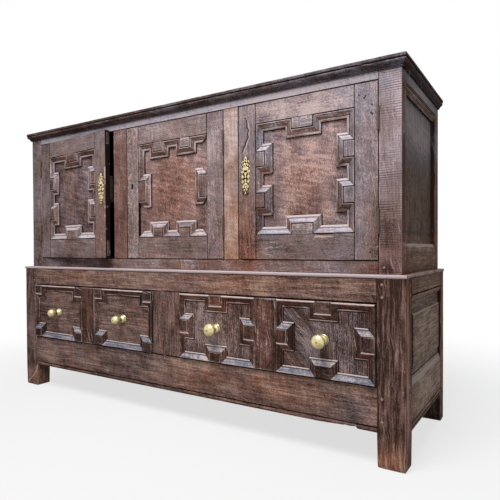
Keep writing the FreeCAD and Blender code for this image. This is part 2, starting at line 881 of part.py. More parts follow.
# Side rails and the plain side panel, drawn on the right.
upper_side_y = ("upper_post_back", "upper_rear_post")
upper_side_tenon_y = ("upper_post_back - tenon", "upper_rear_post + tenon")
upper_side_top_low = "upper_top - upper_side_top"
upper_side_bottom_high = "stage_floor + upper_side_bottom"
upper_side_in = "upper_side - side_rail_thickness"
upper_tenon_side = ("upper_side - upper_tenon_sink - tenon_thickness", "upper_side - upper_tenon_sink")
upper_side_tenons = [
    [upper_tenon_side, upper_side_tenon_y, shouldered((upper_side_top_low, "upper_top"))],
    [upper_tenon_side, upper_side_tenon_y, shouldered(("stage_floor", upper_side_bottom_high))],
]
upper_side_profiles = [
    [
        (upper_side_in, upper_side_top_low),
        ("upper_side - side_chamfer_depth", upper_side_top_low),
        ("upper_side - chamfer_step", f"{upper_side_top_low} + side_chamfer_height - chamfer_flat"),
        ("upper_side - chamfer_step", f"{upper_side_top_low} + side_chamfer_height"),
        ("upper_side", f"{upper_side_top_low} + side_chamfer_height"),
        ("upper_side", "upper_top"),
        (upper_side_in, "upper_top"),
    ],
    [
        (upper_side_in, "stage_floor"),
        ("upper_side", "stage_floor"),
        ("upper_side", f"{upper_side_bottom_high} - upper_chamfer_height"),
        ("upper_side - side_chamfer_depth", upper_side_bottom_high),
        (upper_side_in, upper_side_bottom_high),
    ],
]
upper_side_levels = [f"{upper_side_top_low} + upper_side_top / 2", "stage_floor + upper_side_bottom / 2"]
upper_side_holes = pegged(
    "x",
    [
        ("upper_side", y, level)
        for level in upper_side_levels
        for y in ("upper_post_back - peg_inset", "upper_rear_post + peg_inset")
    ],
    sense=-1,
)
upper_panel = [
    ("panel_face - side_panel", "panel_face"),
    ("upper_post_back - panel_tongue", "upper_rear_post + panel_tongue"),
    (f"{upper_side_bottom_high} - panel_tongue", f"{upper_side_top_low} + panel_tongue"),
]
upper_groove = cuboid(*grown(upper_panel))
node("upper_side_panels", both_sides(cuboid(*upper_panel)))
upper_side_rails = [
    cut(joined([profile("y", points, *upper_side_y), cuboid(*tenon)]), [upper_groove] + upper_side_holes)
    for points, tenon in zip(upper_side_profiles, upper_side_tenons)
]
node("upper_side_rails", upper_side_rails + [reflected(rail) for rail in upper_side_rails])

upper_back_x = ("-(upper_inner + back_tongue)", "upper_inner + back_tongue")
upper_back_groove = cuboid(*grown([upper_back_x, back_y, ("stage_floor", "upper_top")]))
node("upper_back_boards", board_stack(upper_back_x, back_y, "stage_floor", "upper_top", "upper_back_count"))

upper_side_mortises = [cuboid(*grown(tenon)) for tenon in upper_side_tenons]
upper_front_mortises = [cuboid(*grown(upper_top_tenon)), cuboid(*grown(upper_bottom_tenon))]
upper_front_post = cut(
    cuboid(upper_post_x, ("upper_setback", "upper_post_back"), upper_post_z),
    upper_side_mortises + upper_front_mortises + [upper_groove] + upper_side_holes + upper_holes_right,
)
node("upper_front_right_post", [upper_front_post])
node("upper_front_left_post", [reflected(upper_front_post)])
upper_back_post = cut(
    cuboid(upper_post_x, ("upper_rear_post", "case_depth"), upper_post_z),
    upper_side_mortises + [upper_groove, upper_back_groove] + upper_side_holes,
)
node("upper_back_posts", both_sides(upper_back_post))

# Floor, shelf on battens, and top boards.
clear_x = ("-upper_inner", "upper_inner")
floor_z = ("door_foot - floor_board", "door_foot")
node("cupboard_floor", [cuboid(clear_x, ("upper_setback + rail_thickness", "back_board_front"), floor_z)])
shelf_y = ("shelf_setback", "back_board_front")
shelf_z = ("shelf_height", "shelf_height + shelf_board")
batten_x = ("upper_inner - batten", "panel_face - side_panel")
batten_y = ("upper_post_back", "upper_rear_post")
batten_z = ("shelf_height - batten", "shelf_height")
node("cupboard_shelf", [cuboid(clear_x, shelf_y, shelf_z)] + both_sides(cuboid(batten_x, batten_y, batten_z)))
top_z = ("upper_top", "upper_top + top_board")
top_step = "(case_depth - upper_setback) / top_board_count"
node("top_boards", [
    cuboid(
        ("-upper_side", "upper_side"),
        (f"upper_setback + {index} * {top_step}", f"upper_setback + {index + 1} * {top_step}"),
        top_z,
    )
    for index in range(int(value("top_board_count")))
])
node("frame_pegs", frame_pegs)


# ---- Hinges ------------------------------------------------------------------------------------

HINGE_LEVELS = ("lower_hinge", "upper_hinge")


def hinge_leaf(side, centre, on_door):
    """Half a butt hinge about the pin: a leaf in the gap, its neck and its share of the knuckles."""
    low = f"{centre} - hinge_height / 2"
    high = f"{centre} + hinge_height / 2"
    near = "leaf_gap - leaf_thickness"
    spread = side if on_door else -side
    leaf_x = toward(spread, near, "leaf_gap")
    pieces = [cuboid(leaf_x, ("pin_proud", "pin_proud + leaf_depth"), (low, high))]
    middle = (f"{centre} - hinge_knuckle / 2", f"{centre} + hinge_knuckle / 2")
    if on_door:
        spans = [(f"{middle[0]} + knuckle_play", f"{middle[1]} - knuckle_play")]
    else:
        spans = [(low, middle[0]), (middle[1], high)]
    for span in spans:
        pieces.append(cuboid(leaf_x, ("0", "pin_proud"), span))
        pieces.append(rod("z", ("0", "0", span[0]), between(*span), "barrel_radius"))
    bore_start = ("0", "0", f"{low} - overrun")
    bore = rod("z", bore_start, "hinge_height + 2 * overrun", "pin_radius + pin_play")
    return cut(joined(pieces), [bore])


def hinge_pin(centre):
    """The loose pin of one hinge."""
    return rod("z", ("0", "0", f"{centre} - hinge_height / 2"), "hinge_height", "pin_radius")


def placed(piece, at):
    """A piece drawn about a hinge pin, set at that pin in the case frame."""
    group = doc.addObject("Part::Compound", "AtPin")
    group.Links = [piece]
    group.setExpression("Placement.Base.x", bound(at))
    group.setExpression("Placement.Base.y", bound(pin_plane))
    return group


# ---- Doors -------------------------------------------------------------------------------------

def outer_blocks():
    """Blocks of an outer door: one at the top and foot, two at each side about its mid height."""
    half_width = "outer_panel_width / 2"
    half_height = "outer_panel_height / 2"
    flank = [
        (f"{half_height} {step}", "side_block", "block_drop")
        for step in ("- side_block_below", "+ side_block_above")
    ]
    down = [(f"outer_panel_height - ({middle})", wide, deep) for middle, wide, deep in reversed(flank)]
    centre = [(half_width, "top_block_width", "block_drop")]
    return {"right": centre, "up": flank, "left": centre, "down": down}


def middle_blocks():
    """Blocks of the middle door: two at the top and foot, one at each side."""
    half_width = "middle_panel_width / 2"
    pair = [
        (f"{half_width} - pair_block_offset", "pair_block_width", "block_drop"),
        (f"{half_width} + pair_block_offset", "pair_block_width", "block_drop"),
    ]
    flank = [("middle_panel_height / 2", "middle_block", "block_drop")]
    return {"right": pair, "up": flank, "left": pair, "down": flank}


PLACES.update({
    "outer_door_width": "side_door_opening - 2 * door_gap",
    "middle_door_width": "middle_door_opening - 2 * door_gap",
    "outer_panel_width": "outer_door_width - outer_free_stile - door_hinge_stile",
    "middle_panel_width": "middle_door_width - middle_free_stile - door_hinge_stile",
    "outer_panel_height": "door_high - door_low - outer_door_top - door_bottom",
    "middle_panel_height": "door_high - door_low - middle_door_top - door_bottom",
    "panel_foot": "door_low + door_bottom",
})

# The middle door has lost three of its upright strips, and their places stay bare.
LOST_STRIPS = (("down", 4), ("up", 0), ("up", 4))

DOORS = {
    "left": {
        "side": 1, "pin": "leaf_gap - upper_inner", "turn": "-door_ajar_angle", "kind": "outer",
        "blocks": outer_blocks, "missing": (), "plate": True, "key": "key_inset",
    },
    "middle": {
        "side": -1, "pin": "right_muntin_start - leaf_gap", "turn": None, "kind": "middle",
        "blocks": middle_blocks, "missing": LOST_STRIPS, "plate": False, "key": "middle_key_inset",
    },
    "right": {
        "side": -1, "pin": "upper_inner - leaf_gap", "turn": None, "kind": "outer",
        "blocks": outer_blocks, "missing": (), "plate": True, "key": "key_inset",
    },
}

# Half of the pierced plate's outline, from its top point down: share of the half width, share of the height.
PLATE_OUTLINE = [
    (0.0, 1.0), (0.26, 0.955), (0.28, 0.90), (0.50, 0.875), (0.94, 0.84), (0.66, 0.785), (0.84, 0.745),
    (1.0, 0.68), (0.98, 0.50), (0.80, 0.45), (1.0, 0.40), (0.98, 0.36), (0.66, 0.315), (0.88, 0.27),
    (0.62, 0.215), (0.64, 0.16), (0.30, 0.05), (0.0, 0.0),
]
# Openings of the fret: share of the half width, share of the height, for lozenges either side.
PLATE_PIERCINGS = [(0.48, 0.80), (0.0, 0.84), (0.45, 0.30), (0.0, 0.255), (0.25, 0.14)]


def keyhole(centre, y):
    """A round hole with a slot below it, cut through along Y."""
    start = (centre, y[0], "lock_height")
    slot = cuboid(
        (f"{centre} - key_slot / 2", f"{centre} + key_slot / 2"), y, ("lock_height - key_drop", "lock_height")
    )
    return [rod("y", start, between(*y), "key_radius"), slot]


def escutcheon(centre):
    """A pointed brass plate, pierced with lozenges and a keyhole, fixed by two pins."""
    low = "lock_height - plate_below"
    half = [(across, up) for across, up in PLATE_OUTLINE]
    loop = half + [(-across, up) for across, up in reversed(half[1:-1])]
    points = [
        (f"{centre} + {round(across, 3)} * plate_half_width", f"{low} + {up} * plate_height")
        for across, up in loop
    ]
    y = ("pin_proud - plate_thickness", "pin_proud")
    through = (f"{y[0]} - overrun", f"{y[1]} + overrun")
    holes = keyhole(centre, through)
    for across, up in PLATE_PIERCINGS:
        for mirror in ((1, -1) if across else (1,)):
            middle = f"{centre} + {mirror * across} * plate_half_width"
            level = f"{low} + {up} * plate_height"
            holes.append(rod("y", (middle, through[0], level), between(*through), "plate_pin"))
    return cut(profile("y", points, *y), holes)


def door(name, spec):
    """All the sub-parts of one door, drawn about its hinge pin."""
    side = spec["side"]
    kind = spec["kind"]
    width = f"{kind}_door_width"
    free = f"(leaf_gap + {width})"
    hinge_inner = "(leaf_gap + door_hinge_stile)"
    free_inner = f"({free} - {kind}_free_stile)"
    panel_width = f"{kind}_panel_width"
    panel_height = f"{kind}_panel_height"
    panel_top = f"panel_foot + {panel_height}"
    y = ("door_front", "door_back")
    z = ("door_low", "door_high")
    at = (spec["pin"], pin_plane)

    def sub_part(label, pieces):
        return node(f"door_{name}_{label}", pieces, at, spec["turn"])

    tenon_set = "(door_thickness - door_panel) / 2"
    tenon_y = (f"door_front + {tenon_set}", f"door_back - {tenon_set}")
    tenon_x = toward(side, "leaf_gap", free)
    tenons = [
        [tenon_x, tenon_y, (f"{panel_top} + door_shoulder", "door_high - door_shoulder")],
        [tenon_x, tenon_y, ("door_low + door_shoulder", "panel_foot - door_shoulder")],
    ]
    panel = [
        toward(side, f"{hinge_inner} - panel_tongue", f"{free_inner} + panel_tongue"),
        ("door_panel_face", "door_panel_face + door_panel"),
        ("panel_foot - panel_tongue", f"{panel_top} + panel_tongue"),
    ]
    groove = cuboid(*grown(panel))
    key_centre = f"{free} - {spec['key']}" if side > 0 else f"{spec['key']} - {free}"
    key_cut = keyhole(key_centre, ("door_front - overrun", "door_back + overrun"))
    mortises = [cuboid(*grown(tenon)) for tenon in tenons]
    sub_part("stiles", [
        cut(cuboid(toward(side, free_inner, free), y, z), mortises + [groove] + key_cut),
        cut(cuboid(toward(side, "leaf_gap", hinge_inner), y, z), mortises + [groove]),
    ])
    rail_x = toward(side, hinge_inner, free_inner)
    sub_part("rails", [
        cut(joined([cuboid(rail_x, y, (panel_top, "door_high")), cuboid(*tenons[0])]), [groove]),
        cut(joined([cuboid(rail_x, y, ("door_low", "panel_foot")), cuboid(*tenons[1])]), [groove]),
    ])
    sub_part("panel", [cuboid(*panel)])

    # Mouldings are laid out about the panel's middle, then set across to it.
    blocks = spec["blocks"]()
    edges = outline_edges(panel_width, panel_height, "panel_foot", blocks)
    strips = mitred_strips(
        edges, "door_panel_face", "door_band", "door_band_face", "door_band_lip", spec["missing"]
    )
    faces = face_blocks(panel_width, panel_height, "panel_foot", blocks, "door_panel_face", "door_sink")
    trim = doc.addObject("Part::Compound", "Trim")
    trim.Links = strips + faces
    middle = f"({hinge_inner} + {free_inner}) / 2"
    trim.setExpression("Placement.Base.x", bound(middle if side > 0 else f"-({middle})"))
    sub_part("mouldings", [trim])

    sub_part("hinge_leaves", [hinge_leaf(side, centre, True) for centre in HINGE_LEVELS])

    # Rim lock on the inside of the free stile, with its bolt drawn in.
    case_x = toward(side, f"{free} - lock_inset - lock_length", f"{free} - lock_inset")
    bolt_x = toward(side, f"{free} - bolt_inset - bolt_length", f"{free} - bolt_inset")
    case_z = ("lock_height - lock_tall / 2", "lock_height + lock_tall / 2")
    way_x = toward(side, f"{free} - bolt_inset - bolt_length", f"{free} + bolt_throw")
    lock_body = cuboid(case_x, ("door_back", "door_back + lock_depth"), case_z)
    sub_part("lock_case", [cut(lock_body, [cuboid(*grown([way_x, bolt_y, bolt_z], "bolt_play"))])])
    sub_part("lock_bolt", [cuboid(bolt_x, bolt_y, bolt_z)])
    if spec["plate"]:
        sub_part("escutcheon", [escutcheon(key_centre)])


for name, spec in DOORS.items():
    door(name, spec)

jamb_leaves = []
for spec in DOORS.values():
    for centre in HINGE_LEVELS:
        jamb_leaves.append(placed(hinge_leaf(spec["side"], centre, False), spec["pin"]))
        jamb_leaves.append(placed(hinge_pin(centre), spec["pin"]))
node("hinge_jamb_leaves", jamb_leaves)


# ---- Drawers -----------------------------------------------------------------------------------

PLACES["drawer_tall"] = "drawer_high - drawer_low"


def corner_pattern():
    """Blocks in the four corners of a drawer panel, as pairs at the ends of its top and foot."""
    ends = [
        ("corner_block_width / 2", "corner_block_width", "corner_block_height"),
        ("drawer_panel - corner_block_width / 2", "corner_block_width", "corner_block_height"),
    ]
    return {"right": ends, "left": ends}


def edge_pattern():
    """Blocks at the middle of each side of a drawer panel."""
    level = [("drawer_panel / 2", "edge_block_width", "edge_block_height")]
    upright = [("drawer_tall / 2", "flank_block_height", "flank_block_depth")]
    return {"right": level, "up": upright, "left": level, "down": upright}


def stepped_edges(blocks):
    """Edges of a panel whose corners hold blocks: the outline steps in around each of them."""
    wide, tall = "corner_block_width", "corner_block_height"
    half = "drawer_panel / 2"
    top = "drawer_high"
    low = "drawer_low"
    long_run = f"drawer_panel - 2 * {wide}"
    tall_run = f"drawer_tall - 2 * {tall}"
    return [
        ((f"{wide} - {half}", low), 0, long_run, ("right", 0)),
        ((f"{half} - {wide}", low), 1, tall, ("right", 1)),
        ((f"{half} - {wide}", f"{low} + {tall}"), 0, wide, ("right", 2)),
        ((half, f"{low} + {tall}"), 1, tall_run, ("up", 0)),
        ((half, f"{top} - {tall}"), 2, wide, ("up", 1)),
        ((f"{half} - {wide}", f"{top} - {tall}"), 1, tall, ("up", 2)),
        ((f"{half} - {wide}", top), 2, long_run, ("left", 0)),
        ((f"{wide} - {half}", top), 3, tall, ("left", 1)),
        ((f"{wide} - {half}", f"{top} - {tall}"), 2, wide, ("left", 2)),
        ((f"-{half}", f"{top} - {tall}"), 3, tall_run, ("down", 0)),
        ((f"-{half}", f"{low} + {tall}"), 0, wide, ("down", 1)),
        ((f"{wide} - {half}", f"{low} + {tall}"), 3, tall, ("down", 2)),
    ]


def knob(across, radius, half):
    """A turned knob with its flange, and the nut on its shank inside the drawer."""
    ball_centre = f"-(knob_reach - {half})"
    head = doc.addObject("Part::Ellipsoid", "KnobHead")
    for size, formula in (("Radius1", half), ("Radius2", radius), ("Radius3", radius)):
        head.setExpression(size, bound(formula))
    head.Placement.Rotation = AXIS_TURNS["y"]
    for place, at in zip("xyz", (across, ball_centre, "drawer_mid")):
        head.setExpression("Placement.Base." + place, bound(at))
    flange_start = (across, "-knob_flange_thickness", "drawer_mid")
    flange = rod("y", flange_start, "knob_flange_thickness", "knob_flange")
    neck = rod("y", (across, ball_centre, "drawer_mid"), f"knob_reach - {half}", "knob_neck")
    shank = rod("y", (across, "0", "drawer_mid"), "drawer_front + knob_nut_thickness", "knob_shank")
    nut = rod("y", (across, "drawer_front", "drawer_mid"), "knob_nut_thickness", "knob_nut")
    return [joined([head, flange, neck, shank]), cut(nut, [shank])]


DRAWERS = {
    "left": {"at": "-drawer_centre", "blocks": corner_pattern},
    "right": {"at": "drawer_centre", "blocks": edge_pattern},
}


def drawer(name, spec):
    """All the sub-parts of one drawer, drawn about the middle of its opening."""
    at = (spec["at"], "0")

    def sub_part(label, pieces):
        return node(f"drawer_{name}_{label}", pieces, at)

    half = "drawer_width / 2"
    side_low = "drawer_foot + drawer_running"
    side_high = "drawer_high - drawer_side_drop"
    side_z = (side_low, side_high)
    box_y = ("drawer_front", "drawer_length")
    inner = "drawer_side_face - drawer_side"
    bottom_low = f"drawer_low + drawer_bottom_lift"
    bottom = [
        (f"-({inner} + drawer_groove)", f"{inner} + drawer_groove"),
        ("drawer_front - drawer_groove", "drawer_length"),
        (bottom_low, f"{bottom_low} + drawer_bottom"),
    ]
    groove = cuboid(*grown(bottom))
    hole_radius = "knob_shank + peg_play"
    hole_length = "drawer_front + 2 * overrun"
    knob_holes = [
        rod("y", (f"{sign} * knob_offset", "-overrun", "drawer_mid"), hole_length, hole_radius)
        for sign in (-1, 1)
    ]
    front = cuboid((f"-{half}", half), ("0", "drawer_front"), ("drawer_low", "drawer_high"))
    sub_part("front", [cut(front, [groove] + knob_holes)])
    side_x = (inner, "drawer_side_face")
    sides = both_sides(cut(cuboid(side_x, box_y, side_z), [groove]))
    back_z = (f"{bottom_low} + drawer_bottom", f"{side_high} - drawer_back_drop")
    back = cuboid((f"-({inner})", inner), ("drawer_length - drawer_side", "drawer_length"), back_z)
    sub_part("box", sides + [back])
    sub_part("bottom", [cuboid(*bottom)])

    blocks = spec["blocks"]()
    if name == "left":
        edges = stepped_edges(blocks)
    else:
        edges = outline_edges("drawer_panel", "drawer_tall", "drawer_low", blocks)
    trims = []
    for sign in (-1, 1):
        strips = mitred_strips(edges, "0", "drawer_band", "drawer_band_face", "drawer_band_lip")
        faces = face_blocks("drawer_panel", "drawer_tall", "drawer_low", blocks, "0", "drawer_band_face")
        trim = doc.addObject("Part::Compound", "Trim")
        trim.Links = strips + faces
        trim.setExpression("Placement.Base.x", bound(f"{sign} * knob_offset"))
        trims.append(trim)
    strip_x = ("-drawer_strip / 2", "drawer_strip / 2")
    trims.append(cuboid(strip_x, ("-drawer_strip_thickness", "0"), ("drawer_low", "drawer_high")))
    sub_part("mouldings", trims)
    knobs = []
    for sign in (-1, 1):
        knobs += knob(f"{sign} * knob_offset", f"{name}_knob_radius", f"{name}_knob_half")
    sub_part("knobs", knobs)


for name, spec in DRAWERS.items():
    drawer(name, spec)


# ---- Build and write ---------------------------------------------------------------------------

doc.recompute()
for item in doc.Objects:
    if "Invalid" in item.State or "Error" in item.State:
        raise RuntimeError(f"{item.Name} ({item.Label}) failed: {item.State}")
for item in NODES:
    if item.Shape.isNull() or not item.Shape.isValid():
        raise RuntimeError(f"{item.Label} has no valid shape")

os.makedirs("parts", exist_ok=True)
for item in NODES:
    item.Shape.exportStep(f"parts/{item.Label}.step")
    box = item.Shape.BoundBox
    print(
        f"{item.Label}: {len(item.Shape.Solids)} solids,"
        f" X {box.XMin:.1f}..{box.XMax:.1f} Y {box.YMin:.1f}..{box.YMax:.1f} Z {box.ZMin:.1f}..{box.ZMax:.1f}"
    )
print(len(NODES), "sub-parts")
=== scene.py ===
# %% [markdown]
# # A joined oak press cupboard
# The cupboard stands in two stages: three framed doors above two deep drawers, on post feet. The CAD
# model gives every size and place. This lesson makes the surface that a visitor sees: boards with worn
# arrises, mitred mouldings, turned brass knobs, pierced key plates and old waxed oak.
#
# %% Load the frame
import itertools
import json
import math

import bpy
import mathutils
import numpy as np
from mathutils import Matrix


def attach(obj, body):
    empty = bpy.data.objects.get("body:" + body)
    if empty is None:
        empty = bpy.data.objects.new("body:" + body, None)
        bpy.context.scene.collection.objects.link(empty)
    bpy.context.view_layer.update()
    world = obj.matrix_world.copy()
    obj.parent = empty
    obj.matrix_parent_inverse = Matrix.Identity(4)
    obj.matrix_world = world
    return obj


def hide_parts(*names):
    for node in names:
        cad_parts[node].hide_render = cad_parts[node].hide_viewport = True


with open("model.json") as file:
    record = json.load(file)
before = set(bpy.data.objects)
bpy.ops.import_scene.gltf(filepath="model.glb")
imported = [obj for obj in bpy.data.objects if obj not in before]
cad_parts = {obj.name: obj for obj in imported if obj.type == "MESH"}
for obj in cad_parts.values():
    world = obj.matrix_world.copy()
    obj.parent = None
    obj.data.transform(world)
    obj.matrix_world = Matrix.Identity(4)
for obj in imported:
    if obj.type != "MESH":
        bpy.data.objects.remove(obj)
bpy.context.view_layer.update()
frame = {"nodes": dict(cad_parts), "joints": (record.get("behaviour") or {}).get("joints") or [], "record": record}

MM = 0.001
RECORD = frame["record"]
SLOT = {row["node"]: row["material_slot"] for row in RECORD["subparts"]}
BODY = {node: body for body, nodes in RECORD["behaviour"]["bodies"].items() for node in nodes}
JOINT = {joint["name"]: joint for joint in frame["joints"]}
X, Y, Z = 0, 1, 2


# %% [markdown]
# ## Smooth noise
# Nothing made by hand is quite straight. One seeded table of random numbers, read with smooth steps
# between its entries, gives a value that drifts over the object. It depends only on the place, so two
# boards that meet drift together and no gap opens.
#
# %% Smooth noise
TABLE_SIZE = 32
TABLE = np.random.default_rng(1650).random((TABLE_SIZE,) * 3)
DICE = np.random.default_rng(88)


def drift(points, reach, seed=0.0):
    """Smooth noise from -1 to 1 at these points, which changes over about reach metres."""
    place = np.asarray(points) / reach + seed * 3.71
    cell = np.floor(place).astype(int)
    part = place - cell
    part = part * part * (3 - 2 * part)
    total = np.zeros(len(place))
    for corner in itertools.product((0, 1), repeat=3):
        at = (cell + corner) % TABLE_SIZE
        share = np.prod(np.where(corner, part, 1 - part), axis=1)
        total += share * TABLE[at[:, 0], at[:, 1], at[:, 2]]
    return total * 2 - 1


def warped(points, amount=0.35 * MM, reach=0.16):
    """The points, moved a little by drift in all three directions."""
    return points + amount * np.stack([drift(points, reach, seed) for seed in (1, 2, 3)], axis=1)


print("a corner of the top wanders by", (warped([[1.0, 0.2, 1.1]]) - [1.0, 0.2, 1.1]).round(5)[0], "metres")


# %% [markdown]
# ## Reading the solids
# A node of the frame may hold several solids that touch, such as the strips of a moulding. Their
# triangles come solid after solid, so a solid is complete when every edge seen so far has been met from
# both sides. The left door stands ajar, so its solids are first turned back about the hinge pin, drawn
# as if shut, and turned again at the end.
#
# %% Solids of a node
HINGE = JOINT["door_left_hinge"]
AJAR = math.radians(HINGE["range_deg"][0])
PIN = np.array(HINGE["pos_m"])
AJAR_BODIES = ("door_left", "lock_left")


def turned(points, angle):
    """The points turned about the left door's upright hinge pin."""
    cosine, sine = math.cos(angle), math.sin(angle)
    turn = np.array([[cosine, -sine, 0], [sine, cosine, 0], [0, 0, 1]])
    return (np.asarray(points) - PIN) @ turn.T + PIN


def solids(node):
    """The corners of each solid of a CAD node, with the left door shut."""
    mesh = frame["nodes"][node].data
    points = np.array([v.co for v in mesh.vertices])
    if BODY[node] in AJAR_BODIES:
        points = turned(points, -AJAR)
    names = {}
    key = [names.setdefault(tuple(np.round(p * 1e5).astype(int)), len(names)) for p in points]
    found, seen, open_edges = [], set(), {}
    for face in mesh.polygons:
        corners = [key[i] for i in face.vertices]
        seen.update(face.vertices)
        for a, b in zip(corners, corners[1:] + corners[:1]):
            if open_edges.get((b, a)):
                open_edges[(b, a)] -= 1
                if not open_edges[(b, a)]:
                    del open_edges[(b, a)]
            else:
                open_edges[(a, b)] = open_edges.get((a, b), 0) + 1
        if not open_edges:
            found.append(np.array(list({key[i]: points[i] for i in seen}.values())))
            seen = set()
    if seen:
        found.append(np.array([points[i] for i in seen]))
    return found


def boxes(node):
    """The lowest and highest corner of each solid of a node."""
    return [(corners.min(0), corners.max(0)) for corners in solids(node)]


def box(node):
    """The lowest and highest corner of a whole node, with the left door shut."""
    corners = np.concatenate(solids(node))
    return corners.min(0), corners.max(0)


BASE_INNER = box("base_front_right_post")[0][X]
UPPER_INNER = box("upper_front_right_post")[0][X]
print("solids of the right door's mouldings:", len(solids("door_right_mouldings")))


# %% [markdown]
# ## Stains of three centuries
# Hands, polish and damp have darkened or reddened some places. Other ovals are painted light and shade: a painted
# sheen on the upper right of the front, painted highlights on the sides' upward chamfers, and painted shadow below
# the ajar door and in the gaps before the back posts. Such a stain crosses from one board to the next, so it
# belongs to the place and not to the board. Each is a soft oval on the front or on the sides, and one function
# adds them all up for any point and paints the sides darker as a whole, as shade.
#
# %% Stains
FRONT_STAINS_AND_LIGHT = [
    (0.6, 1.14, 0.75, 0.42, 0.5, -0.4),  # the upper right of the front: painted sheen, paler and cooler
    (-0.78, 0.8, 0.3, 0.6, -0.2, 0.0),  # the upper left post
    (0.335, 0.63, 0.05, 0.16, -1.6, 0.95),  # the right door's left stile, at its foot
    (0.325, 0.98, 0.03, 0.07, 0.0, -0.5),  # the same stile, beside its crack
    (0.72, 1.03, 0.04, 0.06, 0.0, -0.6),  # the right stile, at its head
    (0.265, 0.6, 0.05, 0.16, 0.0, 0.4),  # the right muntin, at its foot
    (0.53, 0.605, 0.2, 0.04, -0.9, 0.0),  # the right door's bottom rail
    (0.1, 0.55, 0.6, 0.03, 0.5, 0.25),  # the upper stage's bottom rail
    (-0.5, 0.55, 0.3, 0.02, -1.5, -0.1),  # the same rail below the left door: painted shadow of the ajar door
    (-0.55, 0.85, 0.06, 0.16, 0.3, 0.4),  # the left door's panel
    (0.01, 0.82, 0.13, 0.16, -0.1, 0.65),  # the middle door's panel
    (0.53, 0.82, 0.1, 0.12, 0.3, 0.5),  # the right door's panel
    (0.52, 0.93, 0.12, 0.08, 0.5, -0.2),  # its upper half: painted sheen
    (0.46, 1.03, 0.12, 0.04, 1.3, 0.0),  # the rail above it: painted sheen
    (0.64, 1.03, 0.06, 0.04, 1.1, -0.5),  # the right end of that rail: painted sheen, cooler
    (0.6, 0.34, 0.1, 0.1, 0.8, 0.0),  # the right drawer, right half
    (0.67, 0.86, 0.04, 0.2, -0.5, -0.4),  # the panel's right margin
    (0.39, 0.95, 0.05, 0.07, -0.7, -0.8),  # its upper left corner
    (0.4, 0.69, 0.05, 0.07, -0.4, -0.6),  # its lower left corner
    (0.65, 0.7, 0.03, 0.1, -0.6, -0.4),  # its lower right corner
    (0.41, 0.34, 0.035, 0.14, 2.3, 0.4),  # the right drawer's middle strip
    (0.6, 0.43, 0.03, 0.014, 1.9, 0.25),  # the block at the drawer's top
    (0.51, 0.33, 0.045, 0.08, -1.2, 0.3),  # the field left of the knob
    (-0.41, 0.34, 0.035, 0.14, 1.0, 0.4),  # the left drawer's middle strip
    (0.23, 0.42, 0.06, 0.03, 0.0, 0.4),  # above the right drawer's left field
    (0.2, 0.33, 0.14, 0.1, 1.7, 0.55),  # that field
    (0.79, 0.64, 0.05, 0.16, -1.6, 0.4),  # the upper right post, at its foot
    (0.79, 1.09, 0.05, 0.05, -0.4, -0.6),  # its head
    (0.79, 0.55, 0.05, 0.05, -1.4, 0.3),  # where it meets the waist
    (0.8, 0.02, 0.1, 0.04, 3.2, 1.3),  # the right foot
    (-0.8, 0.02, 0.1, 0.045, 1.4, 0.5),  # the left foot
    (0.0, 0.1, 1.2, 0.013, -1.3, 0.2),  # the bead of the bottom rail
    (0.815, 0.99, 0.02, 0.12, 0.9, -0.4),  # the upper right post's outer arris
    (0.1, 0.17, 0.13, 0.04, 0.7, 0.5),  # the bottom rail, in the middle
    (-0.2, 0.17, 0.14, 0.05, -0.2, -0.5),  # left of that
    (0.45, 0.17, 0.2, 0.05, 0.2, 0.6),  # right of that
    (0.69, 0.14, 0.035, 0.03, -1.8, -1.0),  # its right end
    (0.84, 0.3, 0.005, 0.2, 0.9, 0.45),  # the lower right post's outer arris
    (-0.33, 0.7, 0.035, 0.15, 0.0, 0.45),  # the left door's right stile
    (-0.5, 0.49, 0.2, 0.02, 0.0, 0.3),  # the base's top rail, left
    (0.3, 0.49, 0.2, 0.02, 0.1, 0.4),  # the same rail, right
]
SIDE_STAINS_AND_LIGHT = [
    (0.05, 1.078, 0.4, 0.013, 1.4, -1.6),  # above the top rail's grooves
    (0.05, 1.043, 0.4, 0.008, -1.0, 0.8),  # the top rail's chamfer, which faces down: painted shade, darker and redder
    (0.05, 0.97, 0.3, 0.09, 3.2, -1.1),  # the head of the upper panel: painted sheen, paler and cooler
    (0.05, 0.7, 0.3, 0.16, 1.0, 0.1),  # the rest of that panel
    (-0.19, 0.85, 0.04, 0.5, -2.6, 1.0),  # the side of the upper front post: painted shade, darker and redder
    (0.27, 0.8, 0.03, 0.5, -0.6, 1.1),  # the upper back post
    (0.05, 0.61, 0.4, 0.006, 3.0, -0.9),  # the chamfer below the upper panel, which faces up: painted highlight
    (0.05, 0.648, 0.3, 0.002, -2.0, 0.0),  # a painted shadow line above that chamfer
    (0.05, 0.63, 0.3, 0.016, 0.8, 0.6),  # the foot of the upper panel
    (0.05, 0.57, 0.4, 0.03, 0.9, 0.7),  # the rail above the waist
    (0.05, 0.48, 0.4, 0.03, 0.8, 0.6),  # the rail below the waist
    (0.05, 0.35, 0.3, 0.12, 2.5, 0.2),  # the fielded panel
    (0.05, 0.16, 0.4, 0.07, 2.9, 0.2),  # the bottom rail
    (-0.22, 0.3, 0.03, 0.4, 4.4, 0.1),  # the lower front post
    (0.05, 0.229, 0.4, 0.01, 2.2, -1.3),  # the bottom rail's chamfer, which faces up: painted highlight
    (0.2375, 0.34, 0.002, 0.16, -14.0, 0.0),  # painted shadow in the gap before the lower back post
    (0.2325, 0.84, 0.002, 0.25, -4.0, 0.6),  # painted shadow in the gap before the upper back post
]
WAIST_LEVEL = 0.5225
UPPER_FRONT, BASE_FRONT = -0.2, -0.226
SIDE_REACH = 0.79
SIDE_SHADE = 0.9
STAIN_GRAIN = 40 * MM


